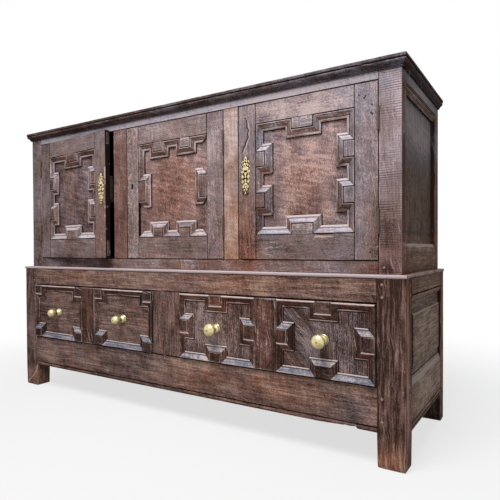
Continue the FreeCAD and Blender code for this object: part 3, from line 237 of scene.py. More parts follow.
def stains_and_painted_light(points):
    """How much lighter, and how much redder, the surface is at these points: stains, painted light and painted
    shade.
    """
    tone, heat = np.zeros(len(points)), np.zeros(len(points))
    front = np.where(points[:, Z] > WAIST_LEVEL, UPPER_FRONT, BASE_FRONT)
    side = (np.abs(points[:, X]) > SIDE_REACH) & (points[:, Y] > front)
    for stains, axis, where, patchy in ((FRONT_STAINS_AND_LIGHT, X, ~side, 0.5), (SIDE_STAINS_AND_LIGHT, Y, side, 0.1)):
        for place, level, wide, tall, lighter, redder in stains:
            away = ((points[:, axis] - place) / wide) ** 2 + ((points[:, Z] - level) / tall) ** 2
            near = where * np.exp(-away) * (0.95 - 0.3 * patchy + patchy * drift(points, STAIN_GRAIN, 12))
            tone += lighter * near
            heat += redder * near
    # The sides are painted darker as a whole: painted shade.
    return tone - SIDE_SHADE * side, heat


print("stains on the front:", len(FRONT_STAINS_AND_LIGHT), "and on each side:", len(SIDE_STAINS_AND_LIGHT))


# %% [markdown]
# ## Making meshes
# Each part is a dictionary of points, four-sided faces, triangles and attributes. The attribute "wood" holds a
# point's place in the plank it was sawn from: along the grain, across it, and in depth from the pith. "state"
# holds wear, dirt with painted shade, and the plank's own tone with the stains and their painted light and shade,
# and "redness" how warm the wood is, painted warmth included. Materials read all three, so grain runs along every
# piece and turns with it.
#
# %% Making meshes
FINISH = {}


def mesh_of(name, parts):
    """One mesh of these parts, with their attributes."""
    points, quads, threes, wood, state = [], [], [], [], []
    start = 0
    for part in parts:
        points.append(part["points"])
        quads.append(np.asarray(part["quads"], int).reshape(-1, 4) + start)
        threes.append(np.asarray(part.get("threes", []), int).reshape(-1, 3) + start)
        wood.append(part["wood"])
        state.append(part["state"])
        start += len(part["points"])
    points, quads, threes = (np.concatenate(stack) for stack in (points, quads, threes))
    mesh = bpy.data.meshes.new(name)
    mesh.vertices.add(len(points))
    mesh.vertices.foreach_set("co", points.astype(np.float32).ravel())
    corners = np.concatenate([quads.ravel(), threes.ravel()])
    starts = np.concatenate([np.arange(len(quads)) * 4, len(quads) * 4 + np.arange(len(threes)) * 3])
    mesh.loops.add(len(corners))
    mesh.loops.foreach_set("vertex_index", corners)
    mesh.polygons.add(len(starts))
    mesh.polygons.foreach_set("loop_start", starts)
    mesh.update(calc_edges=True)
    mesh.validate()
    state = np.concatenate(state)
    # The stains bring their painted light and shade into the tone and the redness.
    tone, heat = stains_and_painted_light(points)
    state[:, 2] += tone
    for label, values in (("wood", np.concatenate(wood)), ("state", state)):
        layer = mesh.attributes.new(label, "FLOAT_VECTOR", "POINT")
        layer.data.foreach_set("vector", values.astype(np.float32).ravel())
    heat += np.concatenate([np.full(len(part["points"]), part.get("heat", 0.0)) for part in parts])
    mesh.attributes.new("redness", "FLOAT", "POINT").data.foreach_set("value", heat.astype(np.float32))
    mesh.shade_smooth()
    mesh.set_sharp_from_angle(angle=math.radians(32))
    return mesh


def settle(piece, slot, body, nodes):
    """Give a piece its material, let it stand for its CAD nodes and ride on their body."""
    piece.data.materials.clear()
    piece.data.materials.append(FINISH[slot])
    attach(piece, body)
    if nodes:
        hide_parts(*nodes)
    return piece


def as_mesh(holder):
    """The mesh that an object gives once its modifiers or bevels are worked out."""
    graph = bpy.context.evaluated_depsgraph_get()
    mesh = bpy.data.meshes.new_from_object(holder.evaluated_get(graph))
    bpy.data.objects.remove(holder)
    return mesh


# %% [markdown]
# Keyholes go right through a stile, and a bolt's mortise is a pocket in a muntin. Both are cut by a Boolean with a
# closed shape, and the new faces are painted dark as the shade inside a hole.
#
# %% Holes and pockets
HOLE_RIM = 0.5 * MM
HOLE_REACH = 5 * MM


def cut(mesh, points, faces):
    """The mesh without what lies inside a closed shape of these points and faces."""
    cutter_mesh = bpy.data.meshes.new("cutter")
    cutter_mesh.from_pydata(np.asarray(points).tolist(), [], faces)
    cutter = bpy.data.objects.new("cutter", cutter_mesh)
    board = bpy.data.objects.new("board", mesh)
    for holder in (cutter, board):
        bpy.context.scene.collection.objects.link(holder)
    step = board.modifiers.new("cut", "BOOLEAN")
    step.operation, step.solver, step.object = "DIFFERENCE", "EXACT", cutter
    mesh = as_mesh(board)
    bpy.data.objects.remove(cutter)
    return mesh


def pierced(mesh, loop, front, back, angle):
    """The mesh with a hole through it from front to back, along a loop of X and Z, its walls painted dark as
    shade.
    """
    count = len(loop)
    points = np.array([(x, y, z) for y in (front, back) for x, z in loop])
    faces = [(i, (i + 1) % count, count + (i + 1) % count, count + i) for i in range(count)]
    faces += [tuple(range(count))[::-1], tuple(range(count, 2 * count))]
    mesh = cut(mesh, turned(points, angle), faces)
    place = turned([v.co for v in mesh.vertices], -angle)[:, (X, Z)]
    rim = ((place > np.min(loop, axis=0) - HOLE_RIM) & (place < np.max(loop, axis=0) + HOLE_RIM)).all(1)
    # The walls of the hole are painted dark: painted shade.
    for i in np.flatnonzero(rim):
        mesh.attributes["state"].data[i].vector = (0, 1.6, -4)
    return mesh


BOX_FACES = [(0, 1, 3, 2), (4, 6, 7, 5), (0, 4, 5, 1), (2, 3, 7, 6), (0, 2, 6, 4), (1, 5, 7, 3)]


def mortised(mesh, low, high):
    """The mesh with a pocket, a box from low to high, cut into it and painted dark as shade."""
    mesh = cut(mesh, [[(low, high)[end][axis] for axis, end in enumerate(ends)]
                      for ends in itertools.product((0, 1), repeat=3)], BOX_FACES)
    place = np.array([v.co for v in mesh.vertices])
    rim = ((place > np.array(low) - HOLE_RIM) & (place < np.array(high) + HOLE_RIM)).all(1)
    # The walls of the pocket are painted dark: painted shade.
    for i in np.flatnonzero(rim):
        mesh.attributes["state"].data[i].vector = (0, 1.2, -3)
    return mesh


# %% Furnishing the frame
def furnish(name, parts, nodes, slot=None, body=None, loops=(), pockets=()):
    """Make one piece of these parts and put it in the place of the CAD nodes."""
    nodes = [nodes] if isinstance(nodes, str) else list(nodes)
    body = body or BODY[nodes[0]]
    angle = AJAR if body in AJAR_BODIES else 0
    if angle:
        parts = [dict(part, points=turned(part["points"], angle)) for part in parts]
    mesh = mesh_of(name, parts)
    for loop in loops:
        low, high = box(nodes[0])
        mesh = pierced(mesh, loop, low[Y] - HOLE_REACH, high[Y] + HOLE_REACH, angle)
    for low, high in pockets:
        mesh = mortised(mesh, low, high)
    piece = bpy.data.objects.new(name, mesh)
    bpy.context.scene.collection.objects.link(piece)
    print(f"{name}: {len(piece.data.polygons)} faces")
    return settle(piece, slot or SLOT[nodes[0]], body, nodes)


# %% [markdown]
# ## A plank
# A plank begins as a box whose six sides are grids. The grid lines lie close together beside the
# arrises, where the box is rounded: each point is pulled onto a small arc whose radius drifts along the
# edge, as hands and brooms wear it. The same points carry the grain's coordinates. The pith of the tree
# lies somewhere beside the plank, and its distance from there decides whether the rings show as straight
# lines or as tall arches.
#
# %% A plank
ARRIS_LINES = np.array([0, 0.7, 1.6, 3.2]) * MM
WORN_REACH = 5 * MM


def lines(low, high, step):
    """Grid lines from low to high, close together at both ends."""
    near = ARRIS_LINES[ARRIS_LINES < (high - low) * 0.4]
    first, last = low + near[-1], high - near[-1]
    count = max(1, round((last - first) / step))
    inner = np.linspace(first, last, count + 1)[1:-1]
    return np.concatenate([low + near, inner, (high - near)[::-1]])


def shell(grid):
    """Points and faces of a box whose sides are the grids between these lines."""
    size = tuple(len(line) for line in grid)
    skin = np.ones(size, bool)
    skin[1:-1, 1:-1, 1:-1] = False
    index = np.full(size, -1)
    index[skin] = np.arange(skin.sum())
    points = np.stack(np.meshgrid(*grid, indexing="ij"), axis=-1)[skin]
    quads = []
    for axis in (X, Y, Z):
        for end in (0, -1):
            side = np.take(index, end, axis)
            quad = np.stack([side[:-1, :-1], side[1:, :-1], side[1:, 1:], side[:-1, 1:]], axis=-1)
            quad = quad.reshape(-1, 4)
            quads.append(quad[:, ::-1] if (end == 0) != (axis == Y) else quad)
    return points, np.concatenate(quads)


def grain(points, along, face, pith, start=None, wander=2.2 * MM):
    """Each point's place in the tree: along the grain, across it and in depth, from the pith."""
    across = 3 - along - face
    middle = (points.min(0) + points.max(0)) / 2
    start = DICE.uniform(0, 40) if start is None else start
    place = np.stack([
        points[:, along] + start,
        points[:, across] - middle[across] + pith[0],
        points[:, face] - middle[face] + pith[1],
    ], axis=1)
    stretched = place * (0.25, 1, 1)
    place[:, 1] += wander * drift(stretched, 0.05, 5)
    place[:, 2] += wander * drift(stretched, 0.05, 6)
    return place


def some_pith():
    """A pith beside the plank, sometimes close enough to arch the grain."""
    return DICE.uniform(-0.12, 0.12), DICE.uniform(0.03, 0.16)


print("grid lines across a stile of 60 mm:", len(lines(0, 60 * MM, 9 * MM)))


# %% The plank itself
def plank(low, high, along, face=Y, step=14 * MM, wear=1.1 * MM, pith=None, blows=(), shape=None,
          fine=None, tone=None, heat=0.0, ends=0.0, wander=2.2 * MM, edges=0.0, seams=0.0):
    """A board with worn arrises: blows adds wear near places, shape moves points at the end.

    fine gives one axis a step of its own. tone and heat shade the whole board, and edges darkens and reddens its
    edges: unpolished wood, and painted shade. ends and seams darken its ends and its long sides: dark joints, and
    painted shadow in the gaps round doors and drawers.
    """
    low, high = np.array(low, float), np.array(high, float)
    steps = [step] * 3
    if fine:
        steps[fine[0]] = fine[1]
    points, quads = shell([lines(low[axis], high[axis], steps[axis]) for axis in (X, Y, Z)])
    radius = wear * (1 + 0.75 * drift(points, 0.05, 7))
    for centre, reach, extra in blows:
        away = np.linalg.norm((points - centre) / reach, axis=1)
        radius += extra * np.exp(-away ** 2)
    radius = np.clip(radius, 0.15 * MM, (high - low).min() * 0.45)[:, None]
    edge = np.sort(np.minimum(points - low, high - points), axis=1)[:, 1]
    core = np.clip(points, low + radius, high - radius)
    out = points - core
    length = np.linalg.norm(out, axis=1, keepdims=True)
    out = np.divide(out, length, out=np.zeros_like(out), where=length > 0)
    wood = grain(points, along, face, pith or some_pith(), wander=wander)
    worn = np.clip(1 - edge / WORN_REACH, 0, 1) * (0.75 + 0.5 * drift(points, 0.03, 8))
    shade = DICE.uniform(-0.6, 0.6) if tone is None else tone
    end_gap = np.minimum(points[:, along] - low[along], high[along] - points[:, along])
    across = 3 - along - face
    seam_gap = np.minimum(points[:, across] - low[across], high[across] - points[:, across])
    # ends and seams paint dark joints, and painted shadow in the gaps round doors and drawers.
    dirt = np.maximum(ends * np.exp(-end_gap / (1.6 * MM)), seams * np.exp(-seam_gap / (1.3 * MM)))
    inside = (points[:, face] > low[face] + 2 * MM) & (points[:, face] < high[face] - 2 * MM)
    # edges darkens the board's edges: unpolished wood, and painted shade.
    state = np.stack([worn * (1 - dirt), dirt, shade + edges * inside], axis=1)
    points = np.where(length > 0, core + out * radius, points)
    if shape:
        points = shape(points, wood, state)
    return {"points": warped(points), "quads": quads, "wood": wood, "state": state,
            "heat": heat + np.sign(-edges) * 0.6 * inside}


print("points on the skin of a 60 mm cube:", len(shell([lines(0, 60 * MM, 9 * MM)] * 3)[0]))


# %% [markdown]
# ## Marks of use
# Cracks, dents and scratches follow a path on the front of a board. Each mark is a path in X and Z, with
# its width and depth in millimetres and how much it wears the wax away or holds dirt.
#
# %% Marks of use
BRUISE = 3
FACE_DEPTH = 2.5 * MM


def scored(*marks):
    """Moves the front of a board along marks: path of X and Z, width, depth, wear and dirt."""
    def move(points, wood, state):
        front = points[:, Y] < points[:, Y].min() + FACE_DEPTH
        flat = points[:, (X, Z)]
        for path, width, depth, wear, dirt in marks:
            path = np.array(path) * MM
            nearest = np.full(len(points), np.inf)
            for first, last in zip(path[:-1], path[1:]):
                leg = last - first
                share = np.clip(((flat - first) @ leg) / (leg @ leg), 0, 1)
                nearest = np.minimum(nearest, np.linalg.norm(flat - first - share[:, None] * leg, axis=1))
            near = front * np.exp(-(nearest / (width * MM)) ** 2)
            points[:, Y] += near * depth * MM
            state[:, 0] += near * wear
            state[:, 2] += near * max(wear - 1, 0) * BRUISE
            state[:, 1] += near * dirt
        return points
    return move


SCORE = scored(([(-5, 0), (5, 0)], 2, 1, 0, 0))(np.zeros((1, 3)), None, np.zeros((1, 3)))
print("a mark 1 mm deep moves the wood by", SCORE[0, Y].round(5), "metres")


# %% [markdown]
# ## A run
# Cornices, mouldings and chamfered rails are one outline carried along an edge. The outline is a ring of
# points. A ring is placed at each station, slanted at the ends where the piece is mitred, and the rings
# are joined. The grain follows the run.
#
# %% A run
def run(rings, along, face, pith=None, dirt=None, wear=None, caps=True):
    """A closed skin through rings of points, from the first station to the last."""
    rings = np.asarray(rings)
    stations, around = rings.shape[:2]
    points = rings.reshape(-1, 3)
    index = np.arange(stations * around).reshape(stations, around)
    ahead = np.roll(index, -1, axis=1)
    quads = np.stack([index[:-1], ahead[:-1], ahead[1:], index[1:]], axis=-1).reshape(-1, 4)
    threes = []
    if caps:
        ends = [rings[0].mean(0), rings[-1].mean(0)]
        points = np.concatenate([points, ends])
        for centre, ring, following in ((len(points) - 2, ahead[0], index[0]),
                                        (len(points) - 1, index[-1], ahead[-1])):
            threes.append(np.stack([ring, following, np.full(around, centre)], axis=1))
        threes = np.concatenate(threes)
    extra = len(points) - stations * around
    wood = grain(points, along, face, pith or some_pith(), wander=1.2 * MM)
    wear = np.tile(np.zeros(around) if wear is None else wear, stations)
    dirt = np.tile(np.zeros(around) if dirt is None else dirt, stations)
    wear, dirt = (np.concatenate([values, np.zeros(extra)]) for values in (wear, dirt))
    wear = wear * (0.8 + 0.5 * drift(points, 0.03, 8))
    state = np.stack([wear, dirt, np.full(len(points), DICE.uniform(-0.45, 0.45))], axis=1)
    middle = points.mean(0)
    corner = points[quads[:: max(1, len(quads) // 50)]]
    normal = np.cross(corner[:, 2] - corner[:, 0], corner[:, 3] - corner[:, 1])
    if (normal * (corner.mean(1) - middle)).sum() < 0:
        quads = quads[:, ::-1]
        threes = np.asarray(threes)[:, ::-1] if len(threes) else threes
    return {"points": warped(points), "quads": quads, "threes": threes, "wood": wood, "state": state}


# %% [markdown]
# ## Shader maths in plain Python
# A material is a sum of small patterns. Writing each sum as nodes by hand hides the thought behind it,
# so a small class wraps a socket and builds the Math nodes when values are added or multiplied. One
# method makes every other node.
#
# %% Shader maths
class Value:
    """A number that changes over the surface, with Python's arithmetic."""

    def __init__(self, shop, socket):
        self.shop = shop
        self.socket = socket

    def _math(self, operation, first, second=None):
        inputs = {0: first} if second is None else {0: first, 1: second}
        return self.shop.add("ShaderNodeMath", {"operation": operation}, inputs)

    def __add__(self, other):
        return self._math("ADD", self, other)

    def __sub__(self, other):
        return self._math("SUBTRACT", self, other)

    def __rsub__(self, other):
        return self._math("SUBTRACT", other, self)

    def __mul__(self, other):
        return self._math("MULTIPLY", self, other)

    def __truediv__(self, other):
        return self._math("DIVIDE", self, other)

    def __pow__(self, other):
        return self._math("POWER", self, other)

    __radd__ = __add__
    __rmul__ = __mul__

    def fract(self):
        """What is left over the whole number."""
        return self._math("FRACT", self)

    def between(self, low, high):
        """From 0 at low to 1 at high, with soft ends."""
        inputs = {"Value": self, "From Min": low, "From Max": high}
        return self.shop.add("ShaderNodeMapRange", {"interpolation_type": "SMOOTHSTEP"}, inputs)


# %% A shop for nodes
class Shop:
    """The node tree of a material or of the world, cleared to be built anew."""

    def __init__(self, owner):
        owner.use_nodes = True
        self.owner = owner
        self.tree = owner.node_tree
        self.tree.nodes.clear()

    def add(self, kind, settings=None, inputs=None, output=0):
        """Make a node: its settings first, then the values or links of its sockets."""
        node = self.tree.nodes.new(kind)
        for key, setting in (settings or {}).items():
            if key == "stops":
                while len(node.color_ramp.elements) < len(setting):
                    node.color_ramp.elements.new(0.5)
                for element, (position, colour) in zip(node.color_ramp.elements, setting):
                    element.position = position
                    element.color = (*colour, 1)
            else:
                setattr(node, key, setting)
        for key, given in (inputs or {}).items():
            if isinstance(given, Value):
                self.tree.links.new(given.socket, node.inputs[key])
            else:
                node.inputs[key].default_value = given
        return Value(self, node.outputs[output])

    def attribute(self, name):
        """The three numbers of a vector attribute."""
        vector = self.add("ShaderNodeAttribute", {"attribute_name": name}, output=1)
        return [self.add("ShaderNodeSeparateXYZ", None, {0: vector}, axis) for axis in (X, Y, Z)]

    def place(self, *sizes):
        """A vector made of three values."""
        return self.add("ShaderNodeCombineXYZ", None, dict(enumerate(sizes)))

    def noise(self, vector, scale=1.0, detail=2.0, rough=0.5, warp=0.0):
        """Soft noise at the places that a vector gives."""
        inputs = {"Vector": vector, "Scale": scale, "Detail": detail, "Roughness": rough}
        return self.add("ShaderNodeTexNoise", None, dict(inputs, Distortion=warp))

    def mix(self, share, first, second, blend="MIX"):
        """A colour between two colours."""
        settings = {"data_type": "RGBA", "blend_type": blend, "clamp_factor": True}
        return self.add("ShaderNodeMix", settings, {0: share, 6: first, 7: second}, output=2)

    def finish(self, settings, height=None, lift=1.0):
        """Connect the surface: settings go to the Principled shader, height to a Bump."""
        if height is not None:
            bump = self.add("ShaderNodeBump", None, {"Height": height, "Distance": lift, "Strength": 1.0})
            settings = dict(settings, Normal=bump)
        self.show(self.add("ShaderNodeBsdfPrincipled", None, settings))
        return self.owner

    def show(self, surface, kind="ShaderNodeOutputMaterial"):
        """Link the last shader to the output."""
        end = self.tree.nodes.new(kind)
        self.tree.links.new(surface.socket, end.inputs["Surface"])


def new_shop(name):
    """A shop for a new material."""
    return Shop(bpy.data.materials.new(name))


def tint(red, green, blue):
    """A colour as painters' charts give it, from 0 to 255, in the linear light that shaders use."""
    def linear(level):
        share = level / 255
        return share / 12.92 if share <= 0.04045 else ((share + 0.055) / 1.055) ** 2.4
    return (linear(red), linear(green), linear(blue), 1.0)


print("the brown of old oak in linear light:", [round(share, 3) for share in tint(120, 96, 88)])


# %% [markdown]
# ## Old waxed oak
# Slow-grown oak shows close rings: each begins with a dark line of open pores and fades to hard, paler late wood.
# Three centuries of wax and smoke add a brown skin, worn through to a paler colour at the arrises and mottled with
# red and grey. The skin is darker in the corners and gaps: real grime, and painted shade that the state's dirt
# carries. The state's tone and the redness carry painted light and shade too. The same recipe serves all the oak,
# with other colours for each place.
#
# %% Old waxed oak
RING = 3.4 * MM
RIB = 6.4 * MM
RIB_LEAN = 0.04
# The colour of grime and of painted shade.
GRIME_AND_SHADE = tint(20, 14, 12)


def oak(name, brown, dark, pale, warm, grey, ring=RING, lean=0.02, ribs=0.3, fleck=0.4, mottle=0.8,
        streaks=0.35, speckle=0.9, rough=0.5, lift=1.0, gloss=0.12, ior=1.15):
    """Oak whose rings lie ring metres apart: brown, dark pores, warm and grey patches, pale wear."""
    shop = new_shop(name)
    along, across, depth = shop.attribute("wood")
    worn, dirt_and_shade, tone = shop.attribute("state")
    heat = shop.add("ShaderNodeAttribute", {"attribute_name": "redness"}, output=2)
    wander = shop.noise(shop.place(along * 5, across * 34, depth * 34), detail=3) - 0.5
    radius = (across * across + depth * depth) ** 0.5 + along * lean + wander * (1.1 * MM)
    phase = (radius / ring).fract()
    early = (1 - phase) ** 1.6 * phase.between(0, 0.12)
    streak = shop.noise(shop.place(along * 11, across * 150, depth * 150), detail=4, rough=0.66)
    pores = shop.noise(shop.place(along * 60, across * 520, depth * 520), detail=2).between(0.5, 0.7)
    rays = shop.noise(shop.place(along * 95 + across * 22, across * 17, depth * 60), detail=3, rough=0.6)
    cloud = shop.noise(shop.place(along * 6, across * 10, depth * 10), detail=4, rough=0.6)
    patch = shop.noise(shop.place(along * 13 + 7, across * 22, depth * 22), detail=5, rough=0.66)
    speck = shop.noise(shop.place(along * 190, across * 330, depth * 330), detail=3, rough=0.7)
    colour = shop.mix(cloud.between(0.4, 0.62) * mottle * 0.7 - heat * 0.8, brown, grey)
    colour = shop.mix(patch.between(0.46, 0.66) * mottle * 0.45 + heat * 0.8, colour, warm)
    # The tone brings in the plank's own shade and the stains, with their painted light and shade.
    shade = (streak - 0.5) * (streaks * 1.4) + (patch - 0.5) * (mottle * 0.8) + tone * 0.14
    shade = shade + (speck - 0.5) * speckle + (rays - 0.5) * fleck + (cloud - 0.5) * (mottle + 0.15)
    colour = shop.mix(shade.between(0, -0.3) * 0.8, colour, dark)
    colour = shop.mix(early * ribs + pores * 0.3, colour, dark)
    colour = shop.mix(shade.between(0, 0.32) * 0.75, colour, pale)
    rub = (worn * 1.2 + streak - 0.62).between(0.28, 0.95)
    colour = shop.mix(rub * 0.4, colour, pale)
    # The state's dirt darkens the colour here: real grime, and painted shade in gaps, holes and under mouldings.
    grime_and_shade = (dirt_and_shade * 1.15 + cloud * 0.5 - 0.28).between(0.2, 0.8)
    colour = shop.mix(grime_and_shade * 0.9, colour, GRIME_AND_SHADE)
    scratch = shop.noise(shop.place(along * 60 + across * 240, across * 60, depth * 30), detail=0, warp=0.4)
    scratch = scratch.between(0.735, 0.77)
    colour = shop.mix(scratch * 0.3, colour, pale)
    dull = rough + grime_and_shade * 0.3 + early * 0.12 - rub * 0.08 + (cloud - 0.5) * 0.3
    height = (streak * 0.5 - pores * 0.35 - early * ribs + patch * 0.9 + speck * 0.6 - scratch * 0.15) \
        * (0.6 * MM * lift)
    settings = {"Base Color": colour, "Roughness": dull, "IOR": ior, "Specular IOR Level": gloss}
    return shop.finish(settings, height)


# %% [markdown]
# The palettes follow the object: the upper frame is greyer, partly a painted sheen of sky light, the base redder,
# the right muntin is newer and tan, the sides are dull, and the inside never saw wax. Each names its brown, its
# dark pores, its pale wear, its warm patches and its grey ones.
#
# %% The oaks of the cupboard
PALE = tint(192, 168, 162)
DARK = tint(38, 25, 21)
WARM = tint(148, 90, 64)
GREY = tint(126, 122, 134)
# The frame's cool grey and pale are partly a painted sheen of sky light.
FINISH["oak_frame"] = oak(
    "frame oak", tint(120, 99, 94), DARK, tint(186, 170, 172), WARM, tint(130, 130, 144),
    mottle=0.5, gloss=0.08)
FINISH["oak_base"] = oak(
    "base oak", tint(118, 94, 86), tint(34, 23, 19), tint(176, 146, 130), tint(142, 90, 68),
    tint(108, 94, 96), mottle=0.6, streaks=0.8, speckle=1.1, gloss=0.06)
FINISH["oak_light"] = oak(
    "light oak", tint(156, 124, 110), tint(90, 60, 48), tint(206, 180, 168), tint(178, 116, 80),
    tint(154, 142, 144), fleck=0.5)
FINISH["oak_door"] = oak(
    "door oak", tint(127, 106, 102), DARK, PALE, WARM, GREY, mottle=0.45, fleck=0.3, speckle=1.0, ior=1.3)
FINISH["oak_door_panel"] = oak(
    "door panel oak", tint(130, 103, 97), tint(52, 35, 31), tint(196, 162, 150), tint(156, 100, 78),
    tint(124, 114, 124), mottle=0.5, fleck=0.8, streaks=0.1, speckle=1.2)
FINISH["oak_moulding"] = oak(
    "moulding oak", tint(118, 96, 90), DARK, tint(206, 190, 190), tint(140, 88, 60),
    tint(150, 148, 162), mottle=0.3, streaks=0.5, speckle=0.8, gloss=0.05)
FINISH["oak_drawer_field"] = oak(
    "drawer field oak", tint(106, 85, 79), tint(26, 18, 16), tint(162, 144, 142), tint(124, 80, 60),
    tint(98, 92, 100), ring=RIB, lean=RIB_LEAN, ribs=0.9, streaks=0.7, speckle=1.3, gloss=0.1)
FINISH["oak_drawer_moulding"] = oak(
    "drawer moulding oak", tint(92, 70, 63), tint(24, 17, 15), tint(212, 194, 190), tint(134, 82, 60),
    tint(116, 118, 132), mottle=0.25, streaks=0.5, speckle=0.8, gloss=0.05)
FINISH["oak_side"] = oak(
    "side oak", tint(122, 102, 90), DARK, tint(196, 174, 158), tint(132, 92, 68), tint(138, 140, 154),
    mottle=0.1, streaks=0.5, speckle=0.6, gloss=0.02)
FINISH["oak_side_panel"] = oak(
    "side panel oak", tint(116, 98, 87), tint(30, 23, 20), tint(188, 168, 152), tint(130, 94, 72),
    tint(134, 142, 160), mottle=0.1, streaks=0.6, speckle=0.6, gloss=0.04)
FINISH["oak_inside"] = oak(
    "inside oak", tint(112, 88, 66), tint(66, 48, 34), tint(150, 124, 96), tint(120, 86, 58),
    tint(104, 94, 82), rough=0.7, gloss=0.1)
# Peg oak is paler than the oak round it: paler end grain, and a painted glint.
FINISH["oak_pegs"] = oak(
    "peg oak", tint(146, 124, 114), tint(60, 44, 38), tint(206, 190, 180), tint(110, 78, 62),
    tint(104, 96, 96))
STRAIGHT_OAK = oak(
    "straight oak", tint(112, 86, 78), tint(32, 20, 17), tint(176, 146, 132), tint(146, 88, 62),
    tint(108, 92, 96), mottle=0.15, streaks=1.3, speckle=0.6, fleck=0.2, gloss=0.06)
PLANED_OAK = oak(
    "planed oak", tint(136, 114, 112), DARK, tint(190, 170, 172), tint(146, 96, 76), tint(130, 126, 138),
    mottle=0.3, streaks=0.15, speckle=0.5, fleck=0.15, gloss=0.08)
print("oaks:", ", ".join(FINISH))


# %% [markdown]
# ## Brass and iron
# The knobs and key plates are cast brass, polished and browned in the corners, and the knobs are painted darker
# underneath, as shade. Hinges and locks are wrought iron, nearly black, pitted and dull.
#
# %% Brass and iron
def brass():
    """Old brass: tarnished in patches, and brown where the state's dirt says: tarnish, and on the knobs painted
    shade underneath.
    """
    shop = new_shop("old brass")
    spot = shop.add("ShaderNodeTexCoord", output=3)
    cloud = shop.noise(spot, scale=90, detail=4, rough=0.6)
    pit = shop.noise(spot, scale=900, detail=2)
    _, dirt_and_shade, _ = shop.attribute("state")
    tarnish = cloud.between(0.42, 0.68)
    colour = shop.mix(tarnish * 0.5, tint(226, 210, 156), tint(158, 138, 88))
    colour = shop.mix(dirt_and_shade * 0.85, colour, tint(54, 44, 20))
    settings = {"Base Color": colour, "Metallic": 0.6, "Roughness": 0.25 + tarnish * 0.15 + dirt_and_shade * 0.3}
    return shop.finish(settings, pit * (0.05 * MM) + cloud * (0.25 * MM))


def iron(name, black, rusty):
    """Wrought iron with patches of rust."""
    shop = new_shop(name)
    spot = shop.add("ShaderNodeTexCoord", output=3)
    cloud = shop.noise(spot, scale=90, detail=5, rough=0.65)
    pit = shop.noise(spot, scale=700, detail=2)
    rust = cloud.between(0.46, 0.7)
    colour = shop.mix(rust * 0.8, black, rusty)
    settings = {"Base Color": colour, "Metallic": 0.5, "Roughness": 0.55 + rust * 0.3}
    settings["Specular IOR Level"] = 0.3
    return shop.finish(settings, pit * (0.15 * MM) + cloud * (0.5 * MM))


FINISH["brass"] = brass()
FINISH["iron"] = iron("wrought iron", tint(46, 42, 39), tint(84, 66, 46))
HINGE_IRON = iron("rubbed iron", tint(84, 75, 64), tint(112, 94, 74))
print("finishes:", len(FINISH), "slots, with brass and iron now")


# %% [markdown]
# ## The base stage
# Four posts run from the floor to the waist and are the feet. Rails join them, and every rail is drawn
# between the posts that hold it, with a hair's breadth of shadow where they meet.
#
# %% The base stage
JOINT_GAP = 0.25 * MM


def only(node, axis=None, low=None, high=None):
    """The box of a node's one solid, cut to the stretch between low and high along an axis."""
    first, last = (np.array(corner) for corner in box(node))
    if axis is not None:
        first[axis] = max(first[axis], low) + JOINT_GAP
        last[axis] = min(last[axis], high) - JOINT_GAP
    return first, last


def planks(node, along, face=Y, **options):
    """A plank for each solid of a node."""
    return [plank(low, high, along, face, **options) for low, high in boxes(node)]


def post(node, **options):
    """The posts of a node, with upright grain."""
    return furnish(f"oak_{node}", planks(node, Z, **options), node)


FOOT_WEAR = 3.2 * MM
right_low, right_high = box("base_front_right_post")
left_low, left_high = box("base_front_left_post")
feet = [((x, y, 0), 0.05, FOOT_WEAR) for x in (right_low[X], right_high[X], left_low[X], left_high[X])
        for y in (right_low[Y], right_high[Y])]
right_foot = post("base_front_right_post", blows=feet, tone=-1.2)
right_foot.data.materials[0] = STRAIGHT_OAK
FOOT_SCRATCH = ([(-762, 90), (-772, 66), (-786, 48), (-804, 31), (-820, 18), (-836, 9)], 1.5, 0.3, 3, 0)
post("base_front_left_post", blows=feet, tone=-0.9, step=3.5 * MM, shape=scored(FOOT_SCRATCH))
back_plane = box("base_back_posts")[1][Y]
post("base_back_posts", blows=[((x, back_plane, 0), 0.05, FOOT_WEAR) for x in (-0.8, 0.8)])

# %% Rails and boards of the base
rail_low, rail_high = only("base_top_rail", X, -BASE_INNER, BASE_INNER)
furnish("oak_base_top_rail", [plank(rail_low, rail_high, X, ends=1, seams=0.9, tone=0, heat=0.1)],
        "base_top_rail")
foot_low, foot_high = only("base_bottom_rail", X, -BASE_INNER, BASE_INNER)
muntin_low, muntin_high = only("base_muntin", Z, foot_high[Z], rail_low[Z])
furnish("oak_base_muntin", [plank(muntin_low, muntin_high, Z, ends=1, seams=0.8, tone=-0.8)], "base_muntin")
furnish("oak_base_back_boards", planks("base_back_boards", X, wear=1.8 * MM, seams=1.2, ends=1),
        "base_back_boards", "oak_inside")
furnish("oak_drawer_runners", planks("drawer_runners", Y, Z), "drawer_runners")


# %% [markdown]
# The base's bottom rail carries a bead along its lower edge: a groove, then a rounded lip. Its outline is
# drawn once in depth and height and carried along the rail.
#
# %% The beaded bottom rail
def stations(low, high, step=12 * MM):
    """Places along a run, with two close to each end for a crisp arris."""
    inner = np.linspace(low + 2 * MM, high - 2 * MM, max(2, round((high - low) / step)))
    return np.concatenate([[low, low + 0.5 * MM], inner, [high - 0.5 * MM, high]])


def arc(centre, radius, start, end, count=5):
    """Points of an arc in depth and height, from one angle to another in degrees."""
    turns = np.radians(np.linspace(start, end, count))
    return [(centre[0] - radius * math.cos(t), centre[1] + radius * math.sin(t)) for t in turns]


BEAD_TOP, GROOVE_TOP, GROOVE_DEPTH = 14 * MM, 18 * MM, 3.2 * MM
print("stations along the bottom rail:", len(stations(foot_low[X], foot_high[X], 6 * MM)))


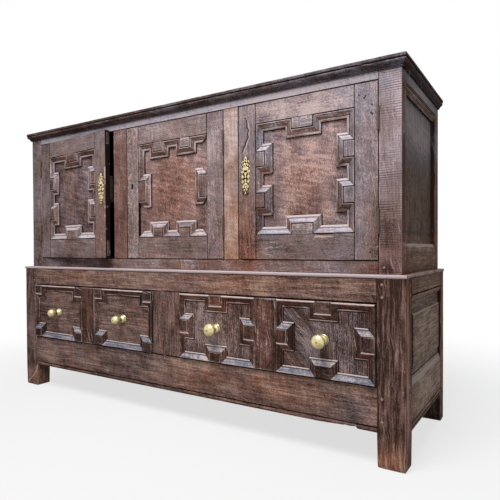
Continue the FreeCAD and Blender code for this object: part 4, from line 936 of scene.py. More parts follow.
def beaded_outline(low, high):
    """Front outline of the rail from its top to its foot, and back: depth, height, dirt and wear. The dirt at the
    top edge is painted shadow under the drawers' mouldings.
    """
    front, back = low[Y], high[Y]
    foot, top = low[Z], high[Z]
    rise = np.linspace(top - 4.6 * MM, foot + GROOVE_TOP + 2 * MM, 9)
    # The top edge is painted dark: the shadow under the drawers' mouldings.
    outline = [(front + 1.2 * MM, top, 1, 0), (front + 0.3 * MM, top - 0.9 * MM, 1, 0)]
    outline += [(front, top - 3 * MM, 0.8, 0)]
    outline += [(front, height, 0, 0) for height in rise]
    outline += [(front + 0.4 * MM, foot + GROOVE_TOP, 0, 0.8)]
    outline += [(front + GROOVE_DEPTH, foot + GROOVE_TOP - 1 * MM, 1, 0)]
    outline += [(front + GROOVE_DEPTH, foot + BEAD_TOP + 0.6 * MM, 1, 0)]
    bead = arc((front + BEAD_TOP * 0.5, foot + BEAD_TOP * 0.5), BEAD_TOP * 0.5, 80, -80, 9)
    outline += [(depth, height, 0, 0.4) for depth, height in bead]
    outline += [(back - 1 * MM, foot, 0, 0), (back, foot + 1 * MM, 0, 0)]
    outline += [(back, height, 0, 0) for height in np.linspace(foot + 0.02, top - 0.02, 5)]
    outline += [(back, top - 1 * MM, 0, 0), (back - 1 * MM, top, 0, 0)]
    return np.array(outline)


def straight_run(outline, places, along=X, face=Y, **options):
    """Carry an outline of depth, height, dirt and wear along X, or along Y for a side."""
    rings = []
    for place in places:
        ring = np.zeros((len(outline), 3))
        ring[:, along] = place
        ring[:, face] = outline[:, 0]
        ring[:, Z] = outline[:, 1]
        rings.append(ring)
    return run(rings, along, face, dirt=outline[:, 2], wear=outline[:, 3], **options)


# %% [markdown]
# Near its right end the rail's foot is eaten away in a long shallow hollow, which ends where the bead is
# whole again.
#
# %% The hollow in the bottom rail
HOLLOW_START, HOLLOW_END, HOLLOW_RISE = 0.545, 0.70, 8 * MM
beaded = beaded_outline(foot_low, foot_high)
rail = straight_run(beaded, stations(foot_low[X], foot_high[X], 6 * MM))
points = rail["points"]
share = np.clip((points[:, X] - HOLLOW_START) / (HOLLOW_END - HOLLOW_START), 0, 1)
share *= points[:, X] < HOLLOW_END
hollow = foot_low[Z] + HOLLOW_RISE * share ** 1.5 * (1 + 0.2 * drift(points, 0.01, 14))
eaten = points[:, Z] < hollow
points[:, Z] = np.maximum(points[:, Z], hollow)
rail["state"][:, 1] += eaten * 0.7
rail["state"][:, 1] += (points[:, X] > HOLLOW_END) * (points[:, Z] < foot_low[Z] + GROOVE_TOP) * 0.35
furnish("oak_base_bottom_rail", [rail], "base_bottom_rail")


# %% [markdown]
# ## The upper stage
# The upper stage repeats the frame a little narrower and set back, with two muntins that divide the
# front into three doorways.
#
# %% The upper stage
post("upper_back_posts")
post("upper_front_left_post", tone=-0.4)
top_low, top_high = only("upper_top_rail", X, -UPPER_INNER, UPPER_INNER)
bottom_low, bottom_high = only("upper_bottom_rail", X, -UPPER_INNER, UPPER_INNER)
furnish("oak_upper_top_rail", [plank(top_low, top_high, X, ends=1, seams=0.8, tone=1.1, heat=-1.2)],
        "upper_top_rail")
# Its seams paint the shadow that the doors cast along its top edge.
furnish("oak_upper_bottom_rail", [plank(bottom_low, bottom_high, X, ends=1, seams=1, tone=0)],
        "upper_bottom_rail")

# %% Muntins with the mortises for the lock bolts
MORTISES = {"left": ("left_bolt_mortise", "middle_bolt_mortise"), "right": ("right_bolt_mortise",)}
for side in ("left", "right"):
    low, high = only(f"upper_{side}_muntin", Z, bottom_high[Z], top_low[Z])
    pockets = [opening["box_m"] for opening in RECORD["physics"]["openings"]
               if opening["name"] in MORTISES[side]]
    shade, redness = (-0.4, 0.32) if side == "left" else (0.0, 0)
    furnish(f"oak_upper_{side}_muntin", [plank(low, high, Z, ends=1, seams=0.8, tone=shade, heat=redness)],
            f"upper_{side}_muntin", pockets=pockets)

# %% Boards of the upper stage
furnish("oak_upper_back_boards", planks("upper_back_boards", X, wear=1.8 * MM, seams=1.2, ends=1),
        "upper_back_boards")
furnish("oak_cupboard_floor", planks("cupboard_floor", X, Z, step=25 * MM), "cupboard_floor")
furnish("oak_cupboard_shelf", [plank(low, high, X if high[X] - low[X] > 1 else Y, Z, step=25 * MM)
                               for low, high in boxes("cupboard_shelf")], "cupboard_shelf")
furnish("oak_top_boards", planks("top_boards", X, Z, step=20 * MM, tone=-1.6, ends=1, seams=0.9),
        "top_boards")


# %% [markdown]
# The upper right post kept the marks of the plane that dressed it across the grain: fine level ripples,
# which catch the light. They are too shallow to model by hand, and a sine whose pitch drifts gives them.
#
# %% The rippled post
RIPPLE_PITCH = 6.6 * MM
RIPPLE_DEPTH = 0.4 * MM


def rippled(points, wood, state):
    """Fine level ripples left by a plane on the front of the post."""
    front = points[:, Y] < box("upper_front_right_post")[0][Y] + 0.5 * MM
    level = points * (0.3, 0.3, 1)
    beat = points[:, Z] / RIPPLE_PITCH + 0.8 * drift(level, 0.06, 9) + 0.25 * drift(level, 0.014, 11)
    depth = 0.85 + 0.4 * drift(points * (0.5, 1, 1.5), 0.03, 10)
    wave = (0.5 + 0.5 * np.sin(2 * math.pi * beat)) ** 2
    points[:, Y] += front * depth * wave * RIPPLE_DEPTH
    state[:, 1] += front * 0.55 * wave * depth
    state[:, 0] += front * 0.2 * (1 - wave) ** 2 * depth
    return points


right_post = post("upper_front_right_post", shape=rippled, fine=(Z, 1.1 * MM), step=7 * MM, tone=0.5)
right_post.data.materials[0] = PLANED_OAK


# %% [markdown]
# ## Sides
# Each side is a frame around a panel. The lower panel is raised and fielded: its middle stands proud of
# sloping margins. The rails beside the panels are chamfered towards them.
#
# %% Sides
SIDE_GROOVE = 2.2 * MM
GROOVE_LIP, GROOVE_FLOOR = 2.6 * MM, 1.4 * MM


def side_rail(low, high, chamfer, grooves):
    """A side rail: chamfer gives the rise and depth of its slope, at the foot if negative."""
    sign = 1 if high[X] > 0 else -1
    outer, inner = (high[X], low[X]) if sign > 0 else (low[X], high[X])
    rise, depth = chamfer
    foot, top = low[Z], high[Z]
    edge, turn = (top, top - rise) if rise > 0 else (foot, foot - rise)

    def slope(shares, dirt, wear):
        """Points of the chamfer, from where it turns to its edge."""
        return [(outer - sign * depth * share, turn + (edge - turn) * share, dirt, wear) for share in shares]

    if rise > 0:
        heights = list(np.linspace(foot + 3 * MM, turn - 1 * MM, 6))
        face = [(outer - sign * 0.8 * MM, foot, 0, 0.6), (outer, foot + 1 * MM, 0, 0.8)]
        face += side_steps(outer, sign, heights, grooves)
        face += [(outer - sign * 0.2 * MM, turn, 0, 0.9)]
        face += slope((0.1, 0.5, 0.9), 0, 0.3)
        face += [(outer - sign * depth, edge, 0.8, 0)]
    else:
        heights = list(np.linspace(turn + 1 * MM, top - 3 * MM, 5))
        face = [(outer - sign * depth, edge, 0.8, 0)]
        face += slope((0.9, 0.5, 0.1), 0.2, 0.2)
        face += [(outer - sign * 0.2 * MM, turn, 0, 0.9)]
        face += side_steps(outer, sign, heights, grooves)
        face += [(outer, top - 1 * MM, 0, 0.8), (outer - sign * 0.8 * MM, top, 0, 0.6)]
    face += [(inner, foot + (top - foot) * share, 0, 0) for share in (1, 0.5, 0)]
    return straight_run(np.array(face), stations(*side_between(low)), Y, X)


def side_steps(outer, sign, heights, grooves):
    """The flat of a side rail from its foot to its top, with small grooves cut along it."""
    steps = [(outer, height, 0, 0) for height in heights
             if all(abs(height - at) > 3 * MM for at in grooves)]
    for at in grooves:
        for way in (-1, 1):
            steps += [(outer, at + way * GROOVE_LIP, 0, 0.5),
                      (outer - sign * SIDE_GROOVE, at + way * GROOVE_FLOOR, 1, 0)]
    return sorted(steps, key=lambda step: step[1])


def side_between(low):
    """Where a side rail runs: between the front and the back post of its stage."""
    stage = "base" if low[Z] < box("base_top_rail")[1][Z] - 1 * MM else "upper"
    front = box(f"{stage}_front_right_post")[1][Y]
    back = box(f"{stage}_back_posts")[0][Y]
    return front + JOINT_GAP, back - JOINT_GAP


# %% Side rails and the upper side panels
CHAMFERS = {"base_top": (-12 * MM, 6 * MM), "base_bottom": (24 * MM, 9 * MM),
            "upper_top": (-13 * MM, 8 * MM), "upper_bottom": (11 * MM, 8 * MM)}
GROOVES = {"base_top": [0.471], "base_bottom": [0.104, 0.117], "upper_top": [1.0545, 1.0605],
           "upper_bottom": []}
for stage in ("base", "upper"):
    rails = []
    middle = np.mean([corner[Z] for corner in box(f"{stage}_side_rails")])
    for low, high in boxes(f"{stage}_side_rails"):
        place = f"{stage}_top" if low[Z] > middle else f"{stage}_bottom"
        rails.append(side_rail(low, high, CHAMFERS[place], GROOVES[place]))
    furnish(f"oak_{stage}_side_rails", rails, f"{stage}_side_rails")
furnish("oak_upper_side_panels", planks("upper_side_panels", Z, X, step=12 * MM, tone=-0.3),
        "upper_side_panels")


# %% [markdown]
# The lower panel's field stands a few millimetres proud, and its margins slope away to the frame. The margins
# carry painted shadow, darkest at the back and along the step in front, and the head of the field carries a
# painted highlight.
#
# %% The fielded panels
FIELD_MARGINS = {"front": 48 * MM, "back": 22 * MM, "foot": 28 * MM, "head": 48 * MM}
FIELD_SINK = 5 * MM
FIELD_EDGE = 3 * MM
FRONT, FOOT, HEAD = 0, 2, 3


def fielded(sign):
    """A side panel whose middle stands proud of its margins: the right one if sign is 1, or else the left."""
    low, high = next(pair for pair in boxes("base_side_panels") if sign * pair[0][X] > 0)
    outer = high[X] if sign > 0 else low[X]

    def move(points, wood, state):
        face = np.abs(points[:, X] - outer) < 1 * MM
        margins = np.stack([
            points[:, Y] - low[Y] - FIELD_MARGINS["front"], high[Y] - FIELD_MARGINS["back"] - points[:, Y],
            points[:, Z] - low[Z] - FIELD_MARGINS["foot"], high[Z] - FIELD_MARGINS["head"] - points[:, Z],
        ])
        inside, nearest = margins.min(0), margins.argmin(0)
        drop = np.clip(-inside / FIELD_EDGE, 0, 1) * FIELD_SINK + np.clip(-inside / 0.03, 0, 1) * 2 * MM
        points[:, X] -= np.where(face, sign * drop, 0)
        head = nearest == HEAD
        # A painted highlight along the head of the field, in the wear and in the tone.
        state[:, 0] = np.where(face, head * np.exp(-(inside / (2 * MM)) ** 2) * 1.3, state[:, 0])
        # Painted shadow in the margins, carried in the dirt.
        shadow = np.where(head, 0.35, 1.0) * (inside < -1 * MM)
        shadow *= np.where(nearest == FRONT, np.where(inside > -7 * MM, 1, 0.15), 1)
        state[:, 1] = np.where(face, shadow * np.where(nearest == FOOT, 0.25, 1), state[:, 1])
        state[:, 2] += face * head * np.exp(-(inside / (2 * MM)) ** 2) * 2
        return points

    return plank(low, high, Y, X, step=3 * MM, shape=move, tone=0)


furnish("oak_base_side_panels", [fielded(1), fielded(-1)], "base_side_panels")


# %% [markdown]
# ## Cornice and waist
# Both mouldings go round three sides and are mitred at the front corners. The outline is given as how
# far it reaches out and how high it stands, and each station slides along by its own reach, so the
# mitres close.
#
# %% Cornice and waist
def around_front(node, reach_outline):
    """Three mitred lengths of a moulding: left side, front and right side."""
    low, high = box(node)
    parts = []
    inner_x, inner_y = high[X] - reach_outline[:, 0].max(), low[Y] + reach_outline[:, 0].max()
    for kind in ("left", "front", "right"):
        start, end = (-inner_x, inner_x) if kind == "front" else (inner_y, high[Y])
        rings = []
        for share in np.concatenate([[0, 0.002], np.linspace(0.008, 0.992, 60), [0.998, 1]]):
            place = start + (end - start) * share
            ring = np.zeros((len(reach_outline), 3))
            reach = reach_outline[:, 0]
            if kind == "front":
                ring[:, X] = place + reach * (2 * share - 1)
                ring[:, Y] = inner_y - reach
            else:
                ring[:, Y] = place - reach * (1 - share)
                ring[:, X] = (inner_x + reach) * (1 if kind == "right" else -1)
            ring[:, Z] = reach_outline[:, 1]
            rings.append(ring)
        along = X if kind == "front" else Y
        parts.append(run(rings, along, 1 - along, dirt=reach_outline[:, 2], wear=reach_outline[:, 3]))
    return parts


# %% The cornice
cornice_low, cornice_high = box("cornice")
REACH = box("upper_front_right_post")[0][Y] - cornice_low[Y]
TOP = cornice_high[Z]
CORNICE_STEPS = [  # millimetres in from the front and down from the top, then dirt and wear
    (1.2, 0, 0, 0.8), (0, 1, 0, 1), (0, 2.4, 0, 0.3), (0, 8.6, 0.3, 0), (0.8, 9.6, 0.5, 0), (2.6, 10, 1, 0),
    (2.8, 12, 1, 0), (1.4, 13.4, 0, 0.6), (1.6, 16, 0, 0.5), (3.4, 19, 0.1, 0.2), (6.4, 21.6, 0.3, 0),
    (9.4, 23.6, 0.4, 0), (11, 26, 0.3, 0.2), (12, 28, 0.6, 0), (12, 30, 0.3, 0.6), (12.6, 31, 0.5, 0.3),
]
cornice_outline = [(0, TOP, 0, 0), (REACH * 0.5, TOP, 0, 0)]
cornice_outline += [(REACH - inwards * MM, TOP - down * MM, dirt, wear)
                    for inwards, down, dirt, wear in CORNICE_STEPS]
cornice_outline += [(0, TOP - CORNICE_STEPS[-1][1] * MM, 0.8, 0)]
cornice_parts = around_front("cornice", np.array(cornice_outline))
# The side returns are painted darker than the front: painted shade on the sides.
CORNICE_TONES = {"left": -3.2, "front": -1.8, "right": -3.2}
for part, shade in zip(cornice_parts, CORNICE_TONES.values()):
    part["state"][:, 2] += shade
    part["heat"] = 0.1
furnish("oak_cornice", cornice_parts, "cornice")

# %% The waist
waist_low, waist_high = box("waist_moulding")
WAIST = 65 * MM
NOSE = 4 * MM
waist_outline = [(0, waist_high[Z], 0, 0), (WAIST * 0.5, waist_high[Z], 0, 0)]
waist_outline += [(WAIST - NOSE, waist_high[Z], 0, 0.5)]
waist_outline += [(WAIST - NOSE + NOSE * math.cos(math.radians(turn)),
                   waist_high[Z] - NOSE + NOSE * math.sin(math.radians(turn)), 0, 0.9)
                  for turn in (70, 50, 30, 10)]
waist_outline += [(WAIST - 0.2 * MM, waist_high[Z] - 6 * MM, 0, 1.2),
                  (WAIST - 1.2 * MM, waist_low[Z] + 1.5 * MM, 0.3, 0.3)]
waist_outline += [(reach, waist_low[Z], 0.9, 0) for reach in (WAIST - 2.2 * MM, WAIST * 0.5, 0)]
waist_parts = around_front("waist_moulding", np.array(waist_outline))
# The front is painted much paler than the sides: painted light where the front faces the lamp.
WAIST_TONES = {"left": 0.2, "front": 3.4, "right": 0.2}
for part, shade in zip(waist_parts, WAIST_TONES.values()):
    part["state"][:, 2] += shade
    part["heat"] = 0.25
furnish("oak_waist_moulding", waist_parts, "waist_moulding", "oak_frame")


# %% [markdown]
# ## Mitred strips and blocks
# The doors' mouldings step in and out round flat blocks. Each CAD strip is a wedge: two corners at the
# high outer edge, two at the low inner edge, four at the back. Between these the real outline is drawn:
# a fillet, a hollow and a bead. Each strip is a separate length of wood with its own grain.
#
# %% Mitred strips and blocks
# Each outline gives millimetres in from the outer edge, height above the ground, dirt and wear; the dirt down the
# inner drop at the end is painted shadow.
DOOR_OUTLINE = [
    (0, 5.5, 1, 0), (1.3, 8.0, 1, 0), (1.9, 10.8, 0.4, 0.3), (2.5, 12.0, 0, 0.9), (3.5, 12.3, 0, 1),
    (4.6, 12.1, 0, 1), (5.4, 11.3, 0, 0.6), (8, 9.9, 0, 0.1), (11, 8.3, 0, 0), (14, 6.7, 0, 0),
    (17, 5.2, 0.3, 0), (17.6, 4.7, 0.8, 0), (18.2, 5.9, 0.1, 0.5), (18.9, 6.7, 0, 1),
    (22.6, 6.6, 0, 0.9), (24.3, 6.1, 0, 1), (25, 5.0, 0.2, 0.5), (25, 2.0, 1, 0),
]
DRAWER_OUTLINE = [
    (0, 5, 0.5, 0.2), (0.4, 7.6, 0, 0.8), (1.8, 8.9, 0, 1), (4, 8.8, 0, 0.8), (6, 7.8, 0, 0.3),
    (10, 6, 0, 0.1), (14.5, 4.1, 0.1, 0), (17.6, 3.0, 0.6, 0), (18.6, 1.9, 1, 0),
    (19.3, 3.0, 0.1, 0.6), (21.4, 3.3, 0, 1), (22.8, 2.4, 0.1, 0.4), (23, 1.2, 1, 0),
]
SHADOW_FOOT = {"up": 0.3, "down": 1.8, "left": 1.3, "right": 1.3}
BLOCK_GAP = 1 * MM
# The tone of the painted highlight on the inner fillet of a strip that faces up.
FILLET_HIGHLIGHT = 3.6
LIP, SLOPE = (0.3, 4.5), (5.5, 17.5)
print("strips are", DOOR_OUTLINE[-1][0], "mm wide on doors,", DRAWER_OUTLINE[-1][0], "on drawers")


# %% [markdown]
# Light falls from above, and the strips are painted by the way they face: one that faces up is painted paler and
# greyer, as a sheen, and one that faces down browner, as shade. Each way of facing has its own painted tone,
# painted redness, share of wear and painted tone of the lip, and a strip that faces up gets a painted highlight on
# its inner fillet.
#
# %% Slopes of the strips
WARM_SLOPE_LIGHT = {"up": (1.0, -0.8, 1.0, 0), "down": (-0.2, 0.65, 0.8, 0),
               "left": (-0.6, 0.35, 0.8, 0), "right": (-0.3, 0.0, 0.6, 0)}
DULL_SLOPE_LIGHT = {"up": (1.0, -0.5, 1.0, 0), "down": (-0.5, 0.25, 1.0, 0),
               "left": (-0.6, 0.15, 0.9, 0), "right": (-0.5, 0.0, 0.8, 0)}
DRAWER_SLOPE_LIGHT = {"up": (0.45, -1.2, 1.0, 0), "down": (-1.1, 0.3, 1.0, 2.6),
                 "left": (-1.5, 0.1, 0.35, 0), "right": (-1.5, 0.1, 0.35, 0)}


def on_rings(values, part, rings):
    """The values of one outline repeated for every ring of a part, and 0 at its two ends."""
    values = np.tile(np.append(values, 0), len(rings))
    return np.append(values, np.zeros(len(part["points"]) - len(values)))


# %% A strip
def strip(corners, outline, slope_light):
    """One mitred strip of moulding over a wedge's corners."""
    back = corners[:, Y].max()
    order = np.argsort(corners[:, Y])
    outer = corners[order[:2]]
    inner = corners[order[2:4]]
    reach = np.abs(outer[1] - outer[0]) + np.abs(inner[1] - inner[0])
    along = X if reach[X] > reach[Z] else Z
    outer = outer[np.argsort(outer[:, along])]
    inner = inner[np.argsort(inner[:, along])]
    falls = (inner - outer).mean(0)
    if along == X:
        facing = "up" if falls[Z] > 0 else "down"
    else:
        facing = "right" if falls[X] > 0 else "left"
    # The way the strip faces sets its painted light: tone, redness, share of wear and the lip's painted tone.
    lit_tone, lit_redness, rubbed, lip = slope_light[facing]
    band = outline[-1][0]
    foot = band + SHADOW_FOOT[facing]
    # A thin foot runs out over the panel and is painted dark: painted shadow beside the strip.
    outline = np.array(outline + [(band + 0.2, 0.8, 1, 0), (foot, 0.5, 1, 0), (foot, 0, 1, 0)])
    level = DICE.uniform(-0.35, 0.25) * MM
    span = np.linalg.norm(outer[1] - outer[0])
    shares = stations(0, span, 16 * MM) / span
    trim = JOINT_GAP / span
    shares = trim + shares * (1 - 2 * trim)
    rings = []
    for share in shares:
        high = outer[0] + (outer[1] - outer[0]) * share
        low = inner[0] + (inner[1] - inner[0]) * share
        ring = high + (low - high) * (outline[:, :1] / band)
        ring[:, Y] = back - np.maximum(outline[:, 1] * MM + level * (outline[:, 1] > 2), 0)
        heel = high.copy()
        heel[Y] = back
        rings.append(np.vstack([ring, heel]))
    dirt = np.append(outline[:, 2], 1)
    wear = np.append(outline[:, 3] * rubbed, 0)
    part = run(rings, along, Y, dirt=dirt, wear=wear)
    across = outline[:, 0]
    slope = (across > SLOPE[0]) & (across < SLOPE[1])
    rim = (across > LIP[0]) & (across < LIP[1])
    shade = np.append(0.35 + 0.65 * slope, 0.35)
    part["state"][:len(shade) * len(rings), 2] += lit_tone * np.tile(shade, len(rings))
    part["state"][:, 2] += on_rings(lip * rim, part, rings)
    part["heat"] = lit_redness
    # A strip that faces up gets a painted highlight on its inner fillet.
    if facing == "up":
        fillet = on_rings((across > SLOPE[1]) & (outline[:, 3] > 0.3), part, rings)
        part["state"][:, 2] += FILLET_HIGHLIGHT * fillet
        part["heat"] = lit_redness * (1 - fillet)
    return part


# %% Strips and blocks of a node
def moulded(node, outline, slope_light, tone):
    """Strips where a solid is a wedge, and planks where it is a flat block."""
    parts = []
    for corners in solids(node):
        front = corners[:, Y] < corners[:, Y].min() + 0.2 * MM
        low, high = corners.min(0), corners.max(0)
        if front.sum() >= 4:
            tall = high[Z] - low[Z] > high[X] - low[X]
            lift = np.array([0, DICE.uniform(-1.3, -0.7) * MM, 0])
            inset = np.array([BLOCK_GAP, 0, BLOCK_GAP])
            parts.append(plank(low + lift + inset, high - inset, Z if tall else X, step=10 * MM,
                               wear=0.9 * MM, tone=tone + DICE.uniform(-0.5, 0.5), heat=0.05))
        else:
            parts.append(strip(corners, outline, slope_light))
    return parts


# %% [markdown]
# ## Doors
# A door is two stiles, two rails whose tenons pass right through the stiles, a panel set back in the
# frame, and its mouldings. The end of each tenon shows on the door's edge as a small square of end
# grain.
#
# %% Doors
TENON_PROUD = 0.25 * MM
TENON_HALF = 5 * MM
TENON_SHOULDER = 10 * MM
KEY_RADIUS, KEY_SLOT, KEY_DROP, KEY_LEVEL = 4 * MM, 4 * MM, 13 * MM, 0.845
KEY_INSET = 27.5 * MM


def keyhole(centre, count=14):
    """A round hole with a slot below, as X and Z."""
    start = math.asin(KEY_SLOT / 2 / KEY_RADIUS)
    turns = np.linspace(start, 2 * math.pi - start, count) - math.pi / 2
    loop = [(centre + KEY_RADIUS * math.cos(turn), KEY_LEVEL + KEY_RADIUS * math.sin(turn))
            for turn in turns]
    return loop + [(centre + way * KEY_SLOT / 2, KEY_LEVEL - KEY_DROP) for way in (-1, 1)]


print("corners of a keyhole:", len(keyhole(0)))

# %% [markdown]
# The doors carry the marks of long use: a crack down the right door's left stile, a bite out of its
# bottom rail, scratches, and chips along the left door's free edge.
#
# %% Marks on the doors
CRACK = ([(326, 1016), (329, 1002), (327, 994), (334, 984), (331, 972), (333, 961), (324, 948), (322, 937),
          (314, 928), (311, 916)], 2.1, 1.9, 0, 1.3)
CRACK_LIP = ([(331, 1012), (338, 985), (336, 962), (326, 936), (316, 915)], 1.6, -0.25, 1.6, 0)
BEHIND_PLATE = ([(322.5, 782), (322.5, 890)], 13, 0, 0, 1.0)
SCRATCHES = [([(395, 600), (410, 607), (430, 604), (452, 610), (470, 606)], 1.1, 0.3, 1.4, 0),
             ([(400, 618), (425, 622), (440, 617)], 1, 0.2, 1.1, 0),
             ([(640, 588), (665, 584), (685, 587)], 1, 0.2, 1.0, 0),
             ([(560, 628), (577, 640), (600, 634)], 1.3, 0.3, 1.2, 0)]
STILE_SCRATCH = ([(734, 605), (748, 604.5), (757, 605)], 1.2, 0.2, 2.0, 0)
CHIP = ([(572, 643), (590, 641), (622, 644)], 3.4, 2.6, 0.9, 0.5)
CHIP_LIP = ([(565, 637), (590, 634), (628, 637)], 1.6, 0.1, 1.6, 0)
DENT = ([(-88, 1047), (-86, 1025), (-88, 1007)], 2.2, 0.7, 1.3, 0)
EDGE_CHIPS = [([(-297.5, 918), (-298.5, 900), (-297, 880)], 3.6, 0.9, 2.6, 0),
              ([(-297, 868), (-297, 858)], 2.4, 0.6, 2.2, 0), ([(-297, 770), (-297, 764)], 2.2, 0.5, 2.2, 0),
              ([(-297, 735), (-297, 731)], 2, 0.5, 2, 0), ([(-324, 642), (-322, 641)], 2, 0.3, 2.6, 0)]
BEHIND_LEFT_PLATE = ([(-322.5, 782), (-322.5, 890)], 13, 0, 0, 1.0)


def freckled(points, wood, state):
    """Wears the stile nearest to the left muntin in freckles."""
    near = (points[:, X] < -0.15) * np.clip(drift(points, 3.4 * MM, 21) * 3, 0, 1)
    state[:, 0] += 0.5 * near
    state[:, 2] += 0.9 * near
    return points


STILE_MARKS = {"right": scored(CRACK, CRACK_LIP, BEHIND_PLATE, STILE_SCRATCH), "middle": freckled,
               "left": scored(BEHIND_LEFT_PLATE, *EDGE_CHIPS)}
RAIL_MARKS = {"right": scored(CHIP, CHIP_LIP, *SCRATCHES), "middle": scored(DENT), "left": None}
print("marks on the left door's edge:", len(EDGE_CHIPS))

# %% The three doors
LOOSE_JOINT = 1.4 * MM
DOOR_TONES = {"left": (-0.3, -0.05), "middle": (0.0, 0.0), "right": (0.0, 0.0)}
BLOCK_TONES = {"left": -0.5, "middle": -0.5, "right": 0.3}
PANEL_TONES = {"left": (-1.0, -0.3), "middle": (0, 0), "right": (0, 0)}
# Door edges are darker and redder: unpolished wood, and painted shade, deepest on the ajar left door.
EDGE_TONES_AND_SHADE = {"left": -5, "middle": -3.6, "right": -3.6}


def tenon_ends(low, high, left, right):
    """The ends of a rail's tenons, which show on the outer edges of the stiles."""
    depth = (low[Y] + high[Y]) / 2
    parts = []
    for edge, sign in ((left, -1), (right, 1)):
        proud, sunk = edge + sign * TENON_PROUD, edge - sign * 3 * MM
        parts.append(plank((min(proud, sunk), depth - TENON_HALF, low[Z] + TENON_SHOULDER),
                           (max(proud, sunk), depth + TENON_HALF, high[Z] - TENON_SHOULDER),
                           X, wear=0.4 * MM, tone=-4.5, heat=0.4))
    return parts


for name in ("left", "middle", "right"):
    stiles = sorted(boxes(f"door_{name}_stiles"), key=lambda pair: pair[0][X])
    rails = sorted(boxes(f"door_{name}_rails"), key=lambda pair: pair[0][Z])
    shade, redness = DOOR_TONES[name]
    hole = stiles[1][1][X] - KEY_INSET if name == "left" else stiles[0][0][X] + KEY_INSET
    furnish(f"oak_door_{name}_stiles",
            [plank(low, high, Z, wear=1.4 * MM, step=3 * MM, shape=STILE_MARKS[name], tone=shade,
                   heat=redness, ends=1, seams=0.95, edges=EDGE_TONES_AND_SHADE[name]) for low, high in stiles],
            f"door_{name}_stiles", loops=[keyhole(hole)])
    parts = []
    for low, high in rails:
        low, high = low.copy(), high.copy()
        low[X], high[X] = stiles[0][1][X] + JOINT_GAP, stiles[1][0][X] - JOINT_GAP
        if name == "middle" and low[Z] > 0.9:
            high[X] -= LOOSE_JOINT
        parts.append(plank(low, high, X, ends=1, seams=0.9, step=3 * MM if RAIL_MARKS[name] else 9 * MM,
                           shape=RAIL_MARKS[name], tone=shade, heat=redness))
        parts += tenon_ends(low, high, stiles[0][0][X], stiles[1][1][X])
    furnish(f"oak_door_{name}_rails", parts, f"door_{name}_rails")
    shade, redness = PANEL_TONES[name]
    furnish(f"oak_door_{name}_panel", planks(f"door_{name}_panel", Z, step=8 * MM, tone=shade, heat=redness),
            f"door_{name}_panel")
    slope_light = WARM_SLOPE_LIGHT if name == "right" else DULL_SLOPE_LIGHT
    furnish(f"oak_door_{name}_mouldings",
            moulded(f"door_{name}_mouldings", DOOR_OUTLINE, slope_light, BLOCK_TONES[name]),
            f"door_{name}_mouldings")


# %% [markdown]
# ## Drawers
# The drawer fronts are coarse oak whose hard late wood stands up in ribs. The relief follows the same
# rings that the material colours, so light and colour agree.
#
# %% Drawers
BEND_START, BEND_END, BEND_SIDE = 0.54, 0.63, 0.44
RIB_DEPTH = 0.5 * MM


def ribbed(points, wood, state):
    """Sinks the soft early wood of each ring on the front of a drawer."""
    front = points[:, Y] < points[:, Y].min() + 0.6 * MM
    share = np.clip((BEND_END - points[:, X]) / (BEND_END - BEND_START), 0, 1) * (points[:, X] > BEND_SIDE)
    share = share * share * (3 - 2 * share)
    wood[:, 1] += share * 0.85 * (points[:, Z] - points[:, Z].max())
    radius = np.hypot(wood[:, 1], wood[:, 2]) + wood[:, 0] * RIB_LEAN
    phase = (radius / RIB) % 1
    points[:, Y] += front * RIB_DEPTH * (1 - phase) ** 1.6 * np.clip(phase / 0.12, 0, 1)
    return points


for name in ("left", "right"):
    node = f"drawer_{name}_front"
    if name == "left":
        furnish(f"oak_{node}", planks(node, X, tone=-0.5, heat=0.0, ends=0), node, slot="oak_base")
    else:
        furnish(f"oak_{node}", planks(node, Z, step=7 * MM, fine=(X, 1.4 * MM), shape=ribbed,
                                      pith=(0.44, 0.06), wander=9 * MM, tone=-0.2), node)
    node = f"drawer_{name}_bottom"
    furnish(f"oak_{node}", planks(node, Y, Z, step=25 * MM), node)
    furnish(f"oak_drawer_{name}_mouldings",
            moulded(f"drawer_{name}_mouldings", DRAWER_OUTLINE, DRAWER_SLOPE_LIGHT, -1.5),
            f"drawer_{name}_mouldings")
    furnish(f"oak_drawer_{name}_box", [plank(low, high, X if high[X] - low[X] > 0.1 else Y,
                                             Y if high[X] - low[X] > 0.1 else X, step=25 * MM)
                                       for low, high in boxes(f"drawer_{name}_box")], f"drawer_{name}_box")


# %% [markdown]
# ## Brass knobs
# Each knob is turned: a flange, a trumpet neck and a ball with the small dimple that the lathe's centre
# left. A turned shape is a profile spun about its axis. The right drawer's knobs are later and flatter.
# Behind the drawer front, a nut holds the shank.
#
# %% Brass knobs
def turned_part(profile, centre, segments=40):
    """A turned shape along Y: place in depth, radius and dirt of each ring in millimetres."""
    profile = np.array(profile)
    turns = np.linspace(0, 2 * math.pi, segments, endpoint=False)
    rings = np.zeros((len(profile), segments, 3))
    rings[:, :, X] = centre[X] + profile[:, 1:2] * MM * np.cos(turns)
    rings[:, :, Z] = centre[Z] + profile[:, 1:2] * MM * np.sin(turns)
    rings[:, :, Y] = profile[:, :1] * MM
    part = run(rings, Y, Z)
    part["state"][:len(profile) * segments] = np.stack([np.repeat(profile[:, 2], segments) * share
                                                        for share in (0, 1, 0)], axis=1)
    part["state"][len(profile) * segments:] = 0
    return part


FLANGE_AND_NECK = [(-2, 15, 1), (0, 16.2, 0.9), (1.8, 16.4, 0.1), (2.6, 15.8, 0), (3.0, 14.9, 0.7),
                   (4.0, 14.9, 0.2), (6.5, 13.9, 0), (9, 12.2, 0), (11.5, 10.2, 0), (14, 8.4, 0.3),
                   (16.5, 7.6, 0.9), (19, 7.7, 1)]
NECK_RADIUS = 7.5


